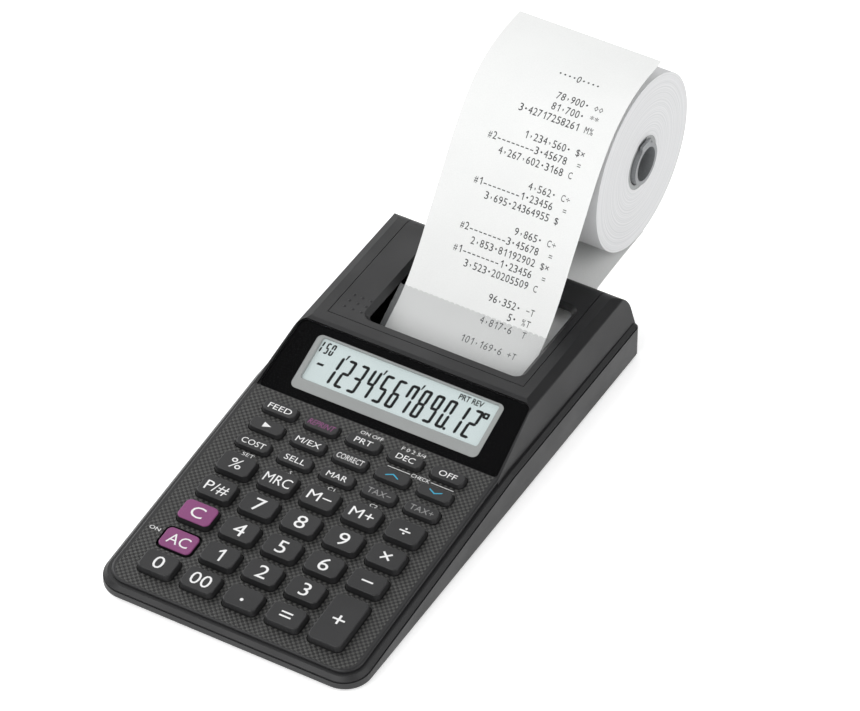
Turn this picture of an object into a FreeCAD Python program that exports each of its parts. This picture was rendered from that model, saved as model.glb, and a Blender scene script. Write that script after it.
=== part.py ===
"""Printing desk calculator with a paper roll: a parametric assembly in millimetres.

The frame: X runs to the right, Y from the front edge to the rear, Z up from the table.
Y = 0 is the front edge of the case and Z = 0 is the face that the rubber feet rest on.
Pieces on the key panel are drawn in the panel's own frame, whose Z is square to the panel.
"""
import FreeCAD
import Part
import Sketcher
import math
import os

from FreeCAD import Placement, Rotation, Vector

doc = FreeCAD.newDocument("desk_calculator")
dims = doc.addObject("Spreadsheet::Sheet", "dims")

# Every size that can be set by itself: alias, value in mm or degrees, meaning.
DIMENSIONS = [
    ("past", 1.0, "how far a cutting tool runs beyond the face it opens"),
    ("case_width", 104.0, "outer width of the bottom case"),
    ("case_length", 198.2, "outer length of the bottom case"),
    ("corner_front", 10.0, "plan radius of the front corners"),
    ("corner_rear", 2.6, "plan radius of the rear corners"),
    ("corner_least", 0.5, "smallest inside radius of a rear corner"),
    ("foot_height", 1.2, "rubber foot below the case"),
    ("foot_radius", 5.0, "rubber foot"),
    ("foot_inset", 10.0, "foot centre from the case edge, both ways"),
    ("foot_fit", 0.15, "gap round a foot in its seat"),
    ("foot_seat", 0.6, "depth of a foot's seat"),
    ("side_front", 2.9, "height of the bottom case wall at the front edge"),
    ("side_rear", 12.8, "height of the bottom case wall along the rear part"),
    ("side_tilt", 5.27, "slope of the wall's upper edge, degrees"),
    ("wall", 2.0, "shell thickness of the bottom case walls and the hump"),
    ("floor", 1.8, "thickness of the bottom case floor"),
    ("edge_round", 0.9, "rounding of the case's bottom edge"),
    ("parting_step", 0.4, "top case set back from the bottom case"),
    ("lip", 0.6, "upright edge of the top case above the parting line"),
    ("rim_chamfer", 1.2, "chamfer round the top case's lower edge"),
    ("panel_inset", 2.9, "key panel edge from the case edge"),
    ("panel_height", 5.8, "panel plane above the case bottom at Y = 0"),
    ("panel_tilt", 5.69, "slope of the key panel, degrees"),
    ("panel_corner", 7.6, "plan radius of the panel's front corners"),
    ("panel_wall", 1.6, "thickness of the key panel"),
    ("panel_round", 0.7, "rounding of the panel's upper edge"),
    ("window_foot", 101.1, "Y of the display window's lower edge"),
    ("window_tilt", 21.0, "slope of the display window, degrees"),
    ("hump_height", 27.2, "top of the printer housing above the case bottom"),
    ("hump_foot_front", 2.4, "hump side wall set in from the case side at the window"),
    ("hump_foot_rear", 1.5, "hump side wall set in from the case side at the rear"),
    ("hump_rear", 1.0, "hump rear wall set in from the case's rear edge"),
    ("shoulder_in", 5.2, "shoulder edge set in from the case side"),
    ("shoulder_drop", 1.6, "shoulder edge below the hump's top"),
    ("shoulder_wide", 3.4, "width of the shoulder slope"),
    ("shoulder_round", 0.9, "rounding along the shoulder's outer edge"),
    ("hump_round", 7.5, "rounding of the hump's upper rear edge"),
    ("crest_round", 1.6, "rounding between window slope and hump top"),
    ("window_margin_foot", 4.0, "window edge from the case side at its foot"),
    ("window_margin_head", 6.0, "window edge from the case side at its head"),
    ("window_head_gap", 1.6, "window's upper edge from the crest"),
    ("window_thick", 1.2, "display window sheet"),
    ("window_corner", 3.0, "rounding of the window's upper corners"),
    ("window_fit", 0.12, "gap round the window sheet"),
    ("window_start", 0.2, "window sheet from the slope's lower edge"),
    ("window_lead", 3.0, "window slope carried forward under the panel"),
    ("panel_lap", 2.0, "key panel carried back under the window slope"),
    ("display_wide", 75.2, "width of the display frame"),
    ("display_deep", 22.7, "depth of the display frame along the slope"),
    ("display_up", 4.0, "display frame from the window's lower edge"),
    ("display_side", 2.3, "frame border at the left and right"),
    ("display_head", 0.6, "frame border at the upper edge"),
    ("display_sill", 4.7, "frame border at the lower edge"),
    ("display_gap", 0.05, "display frame below the window sheet"),
    ("bed_fit", 0.3, "gap round the display frame"),
    ("bed_deep", 9.0, "depth of the opening under the display"),
    ("frame_thick", 0.8, "display frame plate"),
    ("lcd_lap_side", 2.0, "liquid crystal panel under the frame, left and right"),
    ("lcd_lap_front", 2.5, "liquid crystal panel under the frame's lower edge"),
    ("lcd_lap_rear", 0.4, "liquid crystal panel under the frame's upper edge"),
    ("lcd_thick", 1.4, "liquid crystal panel"),
    ("column_pitch", 16.77, "key columns"),
    ("row_pitch", 12.6, "rows of the number keys"),
    ("small_pitch", 9.0, "rows of the function keys"),
    ("first_row", 14.2, "nearest key row from the panel's front line"),
    ("small_row", 76.0, "nearest function key row from the panel's front line"),
    ("key_wide", 12.6, "key top width"),
    ("key_deep", 8.8, "number key top depth"),
    ("tall_deep", 21.4, "plus key top depth"),
    ("small_deep", 4.9, "function key top depth"),
    ("key_high", 2.4, "number key above the panel"),
    ("small_high", 1.7, "function key above the panel"),
    ("flush_high", 0.6, "all clear key above the panel"),
    ("key_flare", 0.45, "key foot wider than its top, each side"),
    ("flush_flare", 0.1, "lean of the flush key's sides"),
    ("key_corner", 2.1, "key corner radius"),
    ("key_edge", 0.35, "rounding of the key's upper edge"),
    ("key_fit", 0.3, "gap round a key in the panel"),
    ("flush_fit", 0.5, "gap round the all clear key"),
    ("key_flange", 0.75, "key flange beyond the key's foot"),
    ("flange_thick", 0.8, "key flange"),
    ("flange_gap", 0.15, "key flange below the panel"),
    ("key_travel", 0.9, "stroke of a key"),
    ("key_rest", 0.05, "pressed key above the contact sheet"),
    ("skirt_lap", 0.2, "key skirt carried up into its cap"),
    ("hole_reach", 6.0, "tool that opens a key's hole, above and below the panel"),
    ("sheet_thick", 0.4, "rubber contact sheet"),
    ("sheet_inset", 0.9, "contact sheet in from the circuit board's edges"),
    ("board_thick", 0.8, "circuit board"),
    ("board_gap", 0.05, "contact sheet over the circuit board"),
    ("board_wide", 82.6, "circuit board width"),
    ("board_front", 8.6, "circuit board front edge from the panel's front line"),
    ("board_rear", 97.4, "circuit board rear edge from the panel's front line"),
    ("cover_half", 39.5, "half width of the printer cover"),
    ("cover_front", 135.3, "Y of the printer cover's front edge"),
    ("cover_low", 23.4, "printer cover's rear lip above the case bottom"),
    ("slot_low", 20.2, "sill of the paper slot above the case bottom"),
    ("cover_fit", 0.25, "gap round the printer cover"),
    ("paper_centre", 5.5, "X of the paper's middle"),
    ("paper_wide", 57.0, "paper width"),
    ("paper_thick", 0.24, "paper strip as modelled"),
    ("throat_left", 3.1, "opening beyond the paper's left edge"),
    ("throat_right", 1.0, "opening beyond the paper's right edge"),
    ("throat_front", 140.2, "Y of the opening's front edge"),
    ("throat_deep", 39.4, "length of the opening"),
    ("throat_bevel", 1.9, "bevel round the paper opening"),
    ("throat_corner", 2.4, "corner radius of the opening"),
    ("exit_tilt", 29.8, "slope of the paper as it leaves the printer, degrees"),
    ("exit_y", 148.8, "a point on the paper's way out, Y"),
    ("exit_height", 19.1, "the same point above the case bottom"),
    ("cutter_thick", 1.0, "clear cutter plate"),
    ("cutter_gap", 0.9, "cutter plate above the paper"),
    ("cutter_foot", 140.6, "Y of the cutter plate's lower edge"),
    ("cutter_deep", 23.5, "cutter plate length up the slope"),
    ("cutter_side", 1.4, "cutter plate beyond the paper at the left"),
    ("cutter_teeth", 0.45, "height of the tear-off teeth"),
    ("cutter_count", 28.0, "tear-off teeth"),
    ("cutter_fit", 0.35, "cutter plate from the opening's right side"),
    ("platen_y", 138.0, "platen axis, Y"),
    ("platen_radius", 4.3, "platen roller"),
    ("wrap_gap", 0.42, "paper's middle from the platen"),
    ("wrap_start", 46.0, "where the paper meets the platen, degrees below the rear"),
    ("tape_gap", 0.6, "paper's middle below the roll"),
    ("platen_over", 0.4, "platen beyond the paper at each end"),
    ("shaft_radius", 1.5, "platen shaft"),
    ("shaft_left", 1.0, "platen shaft beyond its gear"),
    ("shaft_right", 1.5, "platen shaft beyond the right side plate"),
    ("hub_lap", 0.05, "gear bore smaller than its shaft"),
    ("bearing_fit", 0.05, "running clearance of a shaft in its hole"),
    ("gear_module", 0.5, "gear tooth module"),
    ("platen_teeth", 20.0, "teeth on the platen gear"),
    ("pinion_teeth", 10.0, "teeth on the motor pinion"),
    ("gear_wide", 3.0, "gear face width"),
    ("gear_gap", 0.6, "gears from the left side plate"),
    ("tooth_above", 0.9, "tooth tip above the pitch circle, in modules"),
    ("tooth_below", 1.15, "tooth foot below the pitch circle, in modules"),
    ("tooth_valley", 0.13, "half width of the gap's floor, as a share of one tooth"),
    ("tooth_tip", 0.12, "half width of the tooth's tip, as a share of one tooth"),
    ("pin_radius", 0.8, "motor shaft"),
    ("pin_behind", 1.2, "motor shaft from the pinion back to the motor"),
    ("pin_front", 0.4, "motor shaft beyond the pinion"),
    ("gear_backlash", 0.08, "extra centre distance of the gears"),
    ("motor_angle", 60.0, "direction from platen to motor, degrees above the rear"),
    ("motor_radius", 7.0, "printer motor can"),
    ("motor_long", 14.0, "printer motor can"),
    ("motor_gap", 1.6, "motor from the gears"),
    ("cheek", 1.4, "printer frame side plate"),
    ("cheek_gap", 1.8, "side plate from the paper edge"),
    ("cheek_lap", 0.1, "cross pieces let into the side plates"),
    ("frame_front", 119.0, "Y of the printer frame's front"),
    ("frame_behind", 3.0, "side plate behind the platen"),
    ("frame_high", 18.4, "side plate's top above the case bottom"),
    ("bar_thick", 1.6, "front cross bar"),
    ("bar_high", 11.0, "front cross bar's top above the case bottom"),
    ("guide_half", 3.0, "half length of the plate under the platen"),
    ("guide_thick", 0.5, "plate under the platen"),
    ("ink_radius", 3.8, "ink roller"),
    ("ink_y", 125.2, "ink roller axis, Y"),
    ("ink_height", 14.6, "ink roller axis above the case bottom"),
    ("ink_wide", 40.0, "ink roller"),
    ("ink_shaft", 1.2, "ink roller's spindle"),
    ("ink_end", 0.5, "spindle beyond the side plates"),
    ("cell_radius", 5.2, "battery cell"),
    ("cell_long", 44.5, "battery cell"),
    ("cell_gap", 0.5, "between battery cells"),
    ("cell_count", 4.0, "battery cells"),
    ("cell_lift", 1.0, "battery cells above the floor"),
    ("tip_radius", 1.9, "raised contact of a cell"),
    ("tip_long", 1.0, "raised contact of a cell"),
    ("tip_lap", 0.1, "raised contact let into the cell"),
    ("door_margin", 1.6, "battery door beyond the cells, each way"),
    ("door_thick", 1.5, "battery door"),
    ("door_fit", 0.25, "gap round the battery door"),
    ("door_rail", 1.2, "battery door's tongue over the floor"),
    ("door_lip", 8.0, "battery door's rear lip above the case bottom"),
    ("door_lip_fit", 0.2, "rear lip thinner than the case wall"),
    ("door_web", 1.0, "web that carries a tongue"),
    ("door_sink", 0.2, "web let into the door plate"),
    ("tongue_start", 2.0, "tongue behind the door's front edge"),
    ("tongue_end", 12.0, "tongue's end in front of the cells' rear"),
    ("tongue_gap", 0.15, "tongue above the case floor"),
    ("tongue_thick", 0.6, "tongue"),
    ("roll_radius", 33.8, "paper roll"),
    ("roll_y", 230.3, "roll axis, Y"),
    ("roll_height", 57.1, "roll axis above the case bottom"),
    ("core_outer", 10.3, "outer radius of the roll's core"),
    ("core_inner", 8.6, "inner radius of the roll's core"),
    ("core_proud", 0.2, "core shorter than the roll at each end"),
    ("spindle_radius", 8.1, "roll holder's spindle"),
    ("spindle_wall", 1.6, "spindle tube wall"),
    ("spindle_end", 1.6, "spindle beyond the roll"),
    ("hook_rise", 1.5, "hook on the spindle's end above its tube"),
    ("hook_wide", 1.0, "thickness of the hook"),
    ("arm_gap", 1.4, "holder arm from the roll"),
    ("arm_thick", 3.2, "holder arm"),
    ("arm_wide", 13.0, "holder arm's width near its foot"),
    ("arm_eye", 11.0, "radius of the holder arm's upper end"),
    ("arm_foot", 9.0, "Z of the arm's foot above the case bottom"),
    ("arm_pad", 13.0, "width of the holder's foot plate"),
    ("pad_thick", 2.4, "holder's foot plate"),
    ("pad_drop", 4.0, "foot plate below the arm's foot"),
    ("pad_under", 1.0, "foot plate below the paper slot"),
    ("beam_start", 0.2, "arm's foot inside its foot plate"),
    ("beam_drop", 2.0, "arm's lower edge below its foot's height"),
    ("beam_upper", 143.1, "arm's upper corner seen from the roll axis, degrees"),
    ("beam_lower", 51.5, "arm's lower corner seen from the roll axis, degrees below the rear"),
    ("tab_wide", 8.6, "tab over the bottom case's rear wall"),
    ("tab_fit", 0.4, "tab above the bottom case's rear wall"),
    ("tab_lap", 0.5, "tab let into the foot plate"),
    ("hook_half", 3.2, "half width of the hook"),
    ("boss_inset", 7.8, "screw from the case side"),
    ("boss_radius", 2.5, "screw boss"),
    ("screw_radius", 1.1, "screw shank"),
    ("screw_fit", 0.05, "clearance of the screw shank"),
    ("screw_long", 6.4, "screw shank above its head"),
    ("screw_end", 0.6, "screw hole beyond the shank"),
    ("head_radius", 2.2, "screw head"),
    ("head_thick", 0.9, "screw head"),
    ("head_fit", 0.3, "gap round the screw head"),
    ("head_rest", 0.05, "screw head above the case's under face"),
    ("screw_front", 30.0, "Y of the front screws"),
    ("screw_behind", 9.0, "middle screws behind the window's lower edge"),
    ("screw_rear", 22.0, "rear screws from the case's rear edge"),
]

# Function keys from the rear row forwards, then the number keys from the rear row forwards.
SMALL_ROWS = [
    ["key_feed", "key_reprint", "key_print", "key_decimal", "key_off"],
    ["key_right_shift", "key_memory_exchange", "key_correct", "key_check_up", "key_check_down"],
    ["key_cost", "key_sell", "key_margin", "key_tax_minus", "key_tax_plus"],
]
MAIN_ROWS = [
    ["key_percent", "key_memory_recall", "key_memory_minus", "key_memory_plus", "key_divide"],
    ["key_non_add", "key_7", "key_8", "key_9", "key_multiply"],
    ["key_clear", "key_4", "key_5", "key_6", "key_minus"],
    ["key_all_clear", "key_1", "key_2", "key_3"],
    ["key_0", "key_00", "key_point", "key_equals"],
]
COLUMNS = 5

# Distances that only pick edges out: touching, next to, and well apart.
TOUCHING, NEAR, APART = 0.05, 1.5, 5.0

# The paper's path, as (Y, Z). In from the roll: from under the roll's axis, then from the rear wall at the
# slot, then from the cells' rear and the case bottom. The free end is in shares of the roll's radius.
FEED_ROLL = [(3.0, 0.15), (-8.0, 0.1), (-20.0, -0.2)]
FEED_SLOT = [(1.0, 0.0), (-13.0, -1.4)]
FEED_CELLS = [(-24.0, 17.9), (-36.0, 15.9), (-43.5, 14.2)]
WRAP_STEPS = 8
RISE_ALONG = (-5.0, 2.0, 9.0)
FREE_END = [(-1.72, -0.52), (-1.52, -0.23), (-1.32, 0.05), (-1.13, 0.33), (-0.93, 0.59),
            (-0.71, 0.815), (-0.45, 0.985), (-0.17, 1.075), (0.12, 1.105), (0.36, 1.105)]
STRIP_STEPS = 150

for row, (alias, number, meaning) in enumerate(DIMENSIONS, start=1):
    dims.set(f"A{row}", alias)
    dims.set(f"B{row}", str(number))
    dims.set(f"C{row}", meaning)
    dims.setAlias(f"B{row}", alias)

# Places that several pieces share, each worked out from the sizes above.
DERIVED = [
    ("base", "foot_height"),
    ("half_width", "case_width / 2"),
    ("side_break", "(side_rear - side_front) / tan(side_tilt * 1deg)"),
    ("panel_half", "half_width - panel_inset"),
    ("panel_base", "base + panel_height"),
    ("window_base", "panel_base + window_foot * tan(panel_tilt * 1deg)"),
    ("hump_top", "base + hump_height"),
    ("crest_y", "window_foot + (hump_top - window_base) / tan(window_tilt * 1deg)"),
    ("slope_length", "(crest_y - window_foot) / cos(window_tilt * 1deg)"),
    ("hump_end", "case_length - hump_rear"),
    ("key_under", "panel_wall + flange_gap"),
    ("sheet_top", "key_under + flange_thick + key_travel + key_rest"),
    ("platen_z", "base + exit_height + (platen_y - exit_y) * tan(exit_tilt * 1deg)"
                 " - (platen_radius + wrap_gap) / cos(exit_tilt * 1deg)"),
    ("paper_left", "paper_centre - paper_wide / 2"),
    ("paper_right", "paper_centre + paper_wide / 2"),
    ("platen_pitch", "gear_module * platen_teeth / 2"),
    ("pinion_pitch", "gear_module * pinion_teeth / 2"),
    ("gear_centres", "platen_pitch + pinion_pitch + gear_backlash"),
    ("motor_y", "platen_y + gear_centres * cos(motor_angle * 1deg)"),
    ("motor_z", "platen_z + gear_centres * sin(motor_angle * 1deg)"),
    ("cheek_left", "paper_left - cheek_gap"),
    ("cheek_right", "paper_right + cheek_gap"),
    ("gear_left", "cheek_left - cheek - gear_gap - gear_wide"),
    ("ink_z", "base + ink_height"),
    ("cell_pitch", "2 * cell_radius + cell_gap"),
    ("cells_half", "cell_pitch * cell_count / 2"),
    ("cell_rear", "hump_end - wall - cell_gap"),
    ("door_half", "cells_half + door_margin"),
    ("door_front", "cell_rear - cell_long - door_margin"),
    ("roll_z", "base + roll_height"),
    ("arm_right", "paper_left - arm_gap"),
    ("screw_x", "half_width - boss_inset"),
    ("middle_y", "(roll_y + roll_radius) / 2"),
]
first = len(DIMENSIONS) + 1
for row, (alias, formula) in enumerate(DERIVED, start=first):
    dims.set(f"A{row}", alias)
    dims.set(f"B{row}", "=" + formula)
    dims.setAlias(f"B{row}", alias)
doc.recompute()

NAMES = sorted([d[0] for d in DIMENSIONS + DERIVED], key=len, reverse=True)


def size(alias):
    """The number that a cell of the sheet holds."""
    found = dims.get(alias)
    return float(getattr(found, "Value", found))


def linked(formula):
    """A formula in the sheet's aliases, as an expression for a property of another object."""
    words, word = [], ""
    for letter in str(formula) + " ":
        if letter.isalnum() or letter == "_":
            word += letter
            continue
        words.append("dims." + word if word in NAMES else word)
        words.append(letter)
        word = ""
    return "".join(words).strip()


def bind(thing, **formulas):
    """Ties properties of an object to the sheet."""
    for name, formula in formulas.items():
        thing.setExpression(name, linked(formula))
    return thing


def place(thing, x="0", y="0", z="0", axis=None, angle="0"):
    """Binds an object's place, and its turn about an axis through that place."""
    thing.Placement = Placement(Vector(), Rotation(Vector(*(axis or (0, 0, 1))), 0))
    for part, formula in (("x", x), ("y", y), ("z", z)):
        thing.setExpression("Placement.Base." + part, linked(formula))
    if axis:
        thing.setExpression("Placement.Rotation.Angle", linked(angle))
    return thing


def on_panel(thing, x="0", along="0", up="0"):
    """Places an object in the key panel's frame."""
    return place(thing, x, f"({along}) * cos(panel_tilt * 1deg) - ({up}) * sin(panel_tilt * 1deg)",
                 f"panel_base + ({along}) * sin(panel_tilt * 1deg) + ({up}) * cos(panel_tilt * 1deg)",
                 (1, 0, 0), "panel_tilt")


def on_window(thing, x="0", along="0", up="0"):
    """Places an object in the display window's frame."""
    return place(thing, x,
                 f"window_foot + ({along}) * cos(window_tilt * 1deg) - ({up}) * sin(window_tilt * 1deg)",
                 f"window_base + ({along}) * sin(window_tilt * 1deg) + ({up}) * cos(window_tilt * 1deg)",
                 (1, 0, 0), "window_tilt")


def box(name, x, y, z):
    """A block between two faces along each axis, each pair given as two formulas."""
    block = doc.addObject("Part::Box", name)
    bind(block, Length=f"({x[1]}) - ({x[0]})", Width=f"({y[1]}) - ({y[0]})",
         Height=f"({z[1]}) - ({z[0]})")
    return place(block, x[0], y[0], z[0])


def rod(name, radius, x, y, z, length, axis="z"):
    """A cylinder that starts at a point and runs along an axis."""
    cylinder = doc.addObject("Part::Cylinder", name)
    bind(cylinder, Radius=radius, Height=length)
    place(cylinder, x, y, z)
    turns = {"x": Rotation(Vector(0, 1, 0), 90), "y": Rotation(Vector(1, 0, 0), -90)}
    if axis in turns:
        cylinder.Placement.Rotation = turns[axis]
        bind(cylinder, **{"Placement.Base.x": x, "Placement.Base.y": y, "Placement.Base.z": z})
    return cylinder


def cut(name, base, *tools):
    """The base with each tool taken away."""
    for number, tool in enumerate(tools):
        last = number == len(tools) - 1
        result = doc.addObject("Part::Cut", name if last else f"{name}_cut_{number}")
        result.Base, result.Tool = base, tool
        base = result
    return base


def fuse(name, *pieces):
    """Several objects joined into one solid."""
    whole = doc.addObject("Part::MultiFuse", name)
    whole.Shapes = list(pieces)
    whole.Refine = True
    return whole


def common(name, one, other):
    """What two objects share."""
    shared = doc.addObject("Part::Common", name)
    shared.Base, shared.Tool = one, other
    return shared


def group(name, pieces):
    """Separate solids kept in one object."""
    together = doc.addObject("Part::Compound", name)
    together.Links = list(pieces)
    return together


def outline(name, corners, plane):
    """A closed sketch whose corners are tied to the sheet, on the XZ, YZ or XY plane."""
    turns = {"XY": Rotation(), "YZ": Rotation(Vector(1, 1, 1), 120), "XZ": Rotation(Vector(1, 0, 0), 90)}
    sketch = doc.addObject("Sketcher::SketchObject", name)
    sketch.Placement = Placement(Vector(), turns[plane])
    last = len(corners)
    spots = [Vector(math.cos(2 * math.pi * i / last), math.sin(2 * math.pi * i / last), 0) * 50
             for i in range(last)]
    for i in range(last):
        sketch.addGeometry(Part.LineSegment(spots[i], spots[(i + 1) % last]), False)
    for i in range(last):
        sketch.addConstraint(Sketcher.Constraint("Coincident", i, 2, (i + 1) % last, 1))
    for i, corner in enumerate(corners):
        for kind, formula in zip(("DistanceX", "DistanceY"), corner):
            label = f"{kind}{i}"
            number = sketch.addConstraint(Sketcher.Constraint(kind, i, 1, 1.0))
            sketch.renameConstraint(number, label)
            sketch.setExpression("Constraints." + label, linked(formula))
    return sketch


def extrude(name, sketch, direction, forward, backward="0"):
    """A solid swept from a sketch along a direction."""
    solid = doc.addObject("Part::Extrusion", name)
    solid.Base = sketch
    solid.DirMode = "Custom"
    solid.Dir = Vector(*direction)
    solid.Solid = True
    bind(solid, LengthFwd=forward, LengthRev=backward)
    return solid


def profile(name, corners, half):
    """A side profile, corners as (Y, Z), spread to both sides of the middle plane."""
    return extrude(name, outline(name + "_outline", corners, "YZ"), (1, 0, 0), half, half)


def edges_of(solid, wanted):
    """The numbers of the edges that a test accepts, counted from one."""
    return [i for i, edge in enumerate(solid.Shape.Edges, start=1) if wanted(edge)]


def ends(edge):
    """An edge's first and last points."""
    return edge.valueAt(edge.FirstParameter), edge.valueAt(edge.LastParameter)


def runs_along(edge, direction, tolerance=0.02):
    """Whether a straight edge runs along a direction."""
    start, stop = ends(edge)
    run = stop - start
    return run.Length > 0 and abs(abs(run.normalize() * Vector(*direction)) - 1) < tolerance


def fillet(name, base, wanted, radius):
    """Rounds the edges that a test accepts."""
    doc.recompute()
    rounded = doc.addObject("Part::Fillet", name)
    rounded.Base = base
    numbers = edges_of(base, wanted)
    if not numbers:
        raise RuntimeError("no edges to round on " + name)
    rounded.Edges = [(number, radius, radius) for number in numbers]
    return rounded


def chamfer(name, base, wanted, depth):
    """Bevels the edges that a test accepts."""
    doc.recompute()
    bevelled = doc.addObject("Part::Chamfer", name)
    bevelled.Base = base
    numbers = edges_of(base, wanted)
    if not numbers:
        raise RuntimeError("no edges to bevel on " + name)
    bevelled.Edges = [(number, depth, depth) for number in numbers]
    return bevelled


# ---------------------------------------------------------------- the two halves of the case
def side_profile(inset, low, rise):
    """The case seen from the side: low face, sloping upper edge, level rear part."""
    joint = f"base + side_front + ({rise})"
    level = f"base + side_rear + ({rise})"
    return [
        (inset, low),
        (inset, f"{joint} + ({inset}) * tan(side_tilt * 1deg)"),
        ("side_break", level),
        (f"case_length - ({inset})", level),
        (f"case_length - ({inset})", low),
    ]


def upright(edge):
    """Whether an edge stands upright."""
    return runs_along(edge, (0, 0, 1))


def at_front(edge):
    """Whether an edge stands upright in the case's front half."""
    return upright(edge) and ends(edge)[0].y < size("case_length") / 2


def at_rear(edge):
    """Whether an edge stands upright in the case's rear half."""
    return upright(edge) and ends(edge)[0].y > size("case_length") / 2


def tray(name, inset, low, rise):
    """A block with the case's plan outline and side profile, set in from the case on all sides."""
    block = profile(name + "_block", side_profile(inset, low, rise), f"half_width - ({inset})")
    doc.recompute()
    gap = block.Shape.BoundBox.YMin
    fronts = fillet(name + "_fronts", block, at_front, size("corner_front") - gap)
    return fillet(name, fronts, at_rear, max(size("corner_rear") - gap, size("corner_least")))


def bosses(name, low, high):
    """The screw posts, three on each side."""
    posts = []
    for side in ("-", ""):
        for spot in ("screw_front", "window_foot + screw_behind", "case_length - screw_rear"):
            posts.append(rod(f"{name}_{len(posts)}", "boss_radius", f"{side}screw_x", spot, low,
                             f"({high}) - ({low})"))
    return group(name, posts)


def screw_set(name, radius, low, length, fit="0"):
    """One cylinder at each screw's place."""
    pins = []
    for side in ("-", ""):
        for spot in ("screw_front", "window_foot + screw_behind", "case_length - screw_rear"):
            pins.append(rod(f"{name}_{len(pins)}", f"{radius} + {fit}", f"{side}screw_x", spot, low,
                            length))
    return pins


def feet_set(name, radius, low, high):
    """One disc at each foot's place."""
    discs = []
    for side in ("-", ""):
        for spot in ("foot_inset", "case_length - foot_inset"):
            discs.append(rod(f"{name}_{len(discs)}", radius, f"{side}(half_width - foot_inset)", spot, low,
                             f"({high}) - ({low})"))
    return discs


def bottom_case():
    """The lower tray: floor, side walls, screw posts and the battery door's opening."""
    outer = tray("lower_outer", "0", "base", "0")
    bottom_ring = fillet("lower_round", outer,
                         lambda e: max(p.z for p in ends(e)) < size("base") + TOUCHING, size("edge_round"))
    inner = tray("lower_inner", "wall", "base + floor", "past")
    room = cut("lower_room", inner, bosses("lower_posts", "base", "hump_top"))
    door_hole = box("door_hole", ("paper_centre - door_half", "paper_centre + door_half"),
                    ("door_front", "case_length + past"), ("base - past", "base + floor + past"))
    lip_hole = box("door_lip_hole", ("paper_centre - door_half", "paper_centre + door_half"),
                   ("case_length - wall - past", "case_length + past"),
                   ("base - past", "base + door_lip"))
    holes = group("lower_screw_holes", screw_set("lower_hole", "screw_radius", "base - past",
                                                "hump_height", "screw_fit"))
    heads = group("lower_head_holes", screw_set("lower_head", "head_radius", "base - past",
                                                "past + head_thick", "head_fit"))
    seats = group("foot_seats", feet_set("foot_seat", "foot_radius + foot_fit", "base - past",
                                           "base + foot_seat"))
    return cut("bottom_case", bottom_ring, room, door_hole, lip_hole, holes, heads, seats)


def hump_section(foot, inset):
    """The printer housing seen from the front: a flat top, sloping shoulders and leaning sides."""
    side = f"half_width - ({foot}) - ({inset})"
    edge = f"half_width - shoulder_in - ({inset})"
    flat = f"half_width - shoulder_in - shoulder_wide - ({inset})"
    top = f"hump_top - ({inset})"
    low = f"base + side_front - past - ({inset})"
    return [
        (f"-({side})", low), (f"-({side})", "base + side_rear + lip"),
        (f"-({edge})", f"{top} - shoulder_drop"), (f"-({flat})", top),
        (flat, top), (edge, f"{top} - shoulder_drop"),
        (side, "base + side_rear + lip"), (side, low),
    ]


def hump(name, inset):
    """The printer housing as a block: its cross-section lofted rearwards, under its side profile."""
    sections = []
    for tag, at, foot in (("near", f"window_foot - past + ({inset})", "hump_foot_front"),
                          ("far", f"hump_end - ({inset})", "hump_foot_rear")):
        sketch = outline(f"{name}_{tag}", hump_section(foot, inset), "XZ")
        bind(sketch, **{"Placement.Base.y": at})
        sections.append(sketch)
    loft = doc.addObject("Part::Loft", name + "_loft")
    loft.Sections, loft.Solid, loft.Ruled = sections, True, True
    slope = "tan(window_tilt * 1deg)"
    lower = f"({inset}) / cos(window_tilt * 1deg)"
    top = f"hump_top - ({inset})"
    near = "window_foot - window_lead"
    side = profile(name + "_side", [
        (near, "base - past"), (near, f"window_base - window_lead * {slope} - {lower}"),
        (f"crest_y + (({lower}) - ({inset})) / {slope}", top), (f"hump_end - ({inset})", top),
        (f"hump_end - ({inset})", "base - past"),
    ], "half_width + past")

    def rear_top(edge):
        """The edge across the housing's top at the rear."""
        start = ends(edge)[0]
        return (runs_along(edge, (1, 0, 0)) and start.y > size("crest_y") + APART
                and start.z > size("base") + APART)

    def crest(edge):
        """The edge between the window slope and the housing's top."""
        start = ends(edge)[0]
        return (runs_along(edge, (1, 0, 0)) and start.z > size("hump_top") - APART
                and start.y < size("crest_y") + APART)

    doc.recompute()
    gap = size("hump_top") - max(e.valueAt(e.FirstParameter).z for e in side.Shape.Edges)
    rounded = fillet(name + "_rear_round", side, rear_top, size("hump_round") - gap)
    rounded = fillet(name + "_crest", rounded, crest, size("crest_round"))
    whole = common(name + "_sharp", loft, rounded)
    if inset != "0":
        return whole
    doc.recompute()
    shoulder = size("half_width") - size("shoulder_in")

    def shoulder_edge(edge):
        """The long edge between a shoulder and the leaning side below it."""
        near, far = sorted(ends(edge), key=lambda point: point.y)
        level = size("hump_top") - size("shoulder_drop")
        return (abs(abs(near.x) - shoulder) < NEAR and near.z > level - 2 * NEAR
                and far.y - near.y > APART and abs(near.z - far.z) < NEAR)

    return fillet(name, whole, shoulder_edge, size("shoulder_round"))


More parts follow.
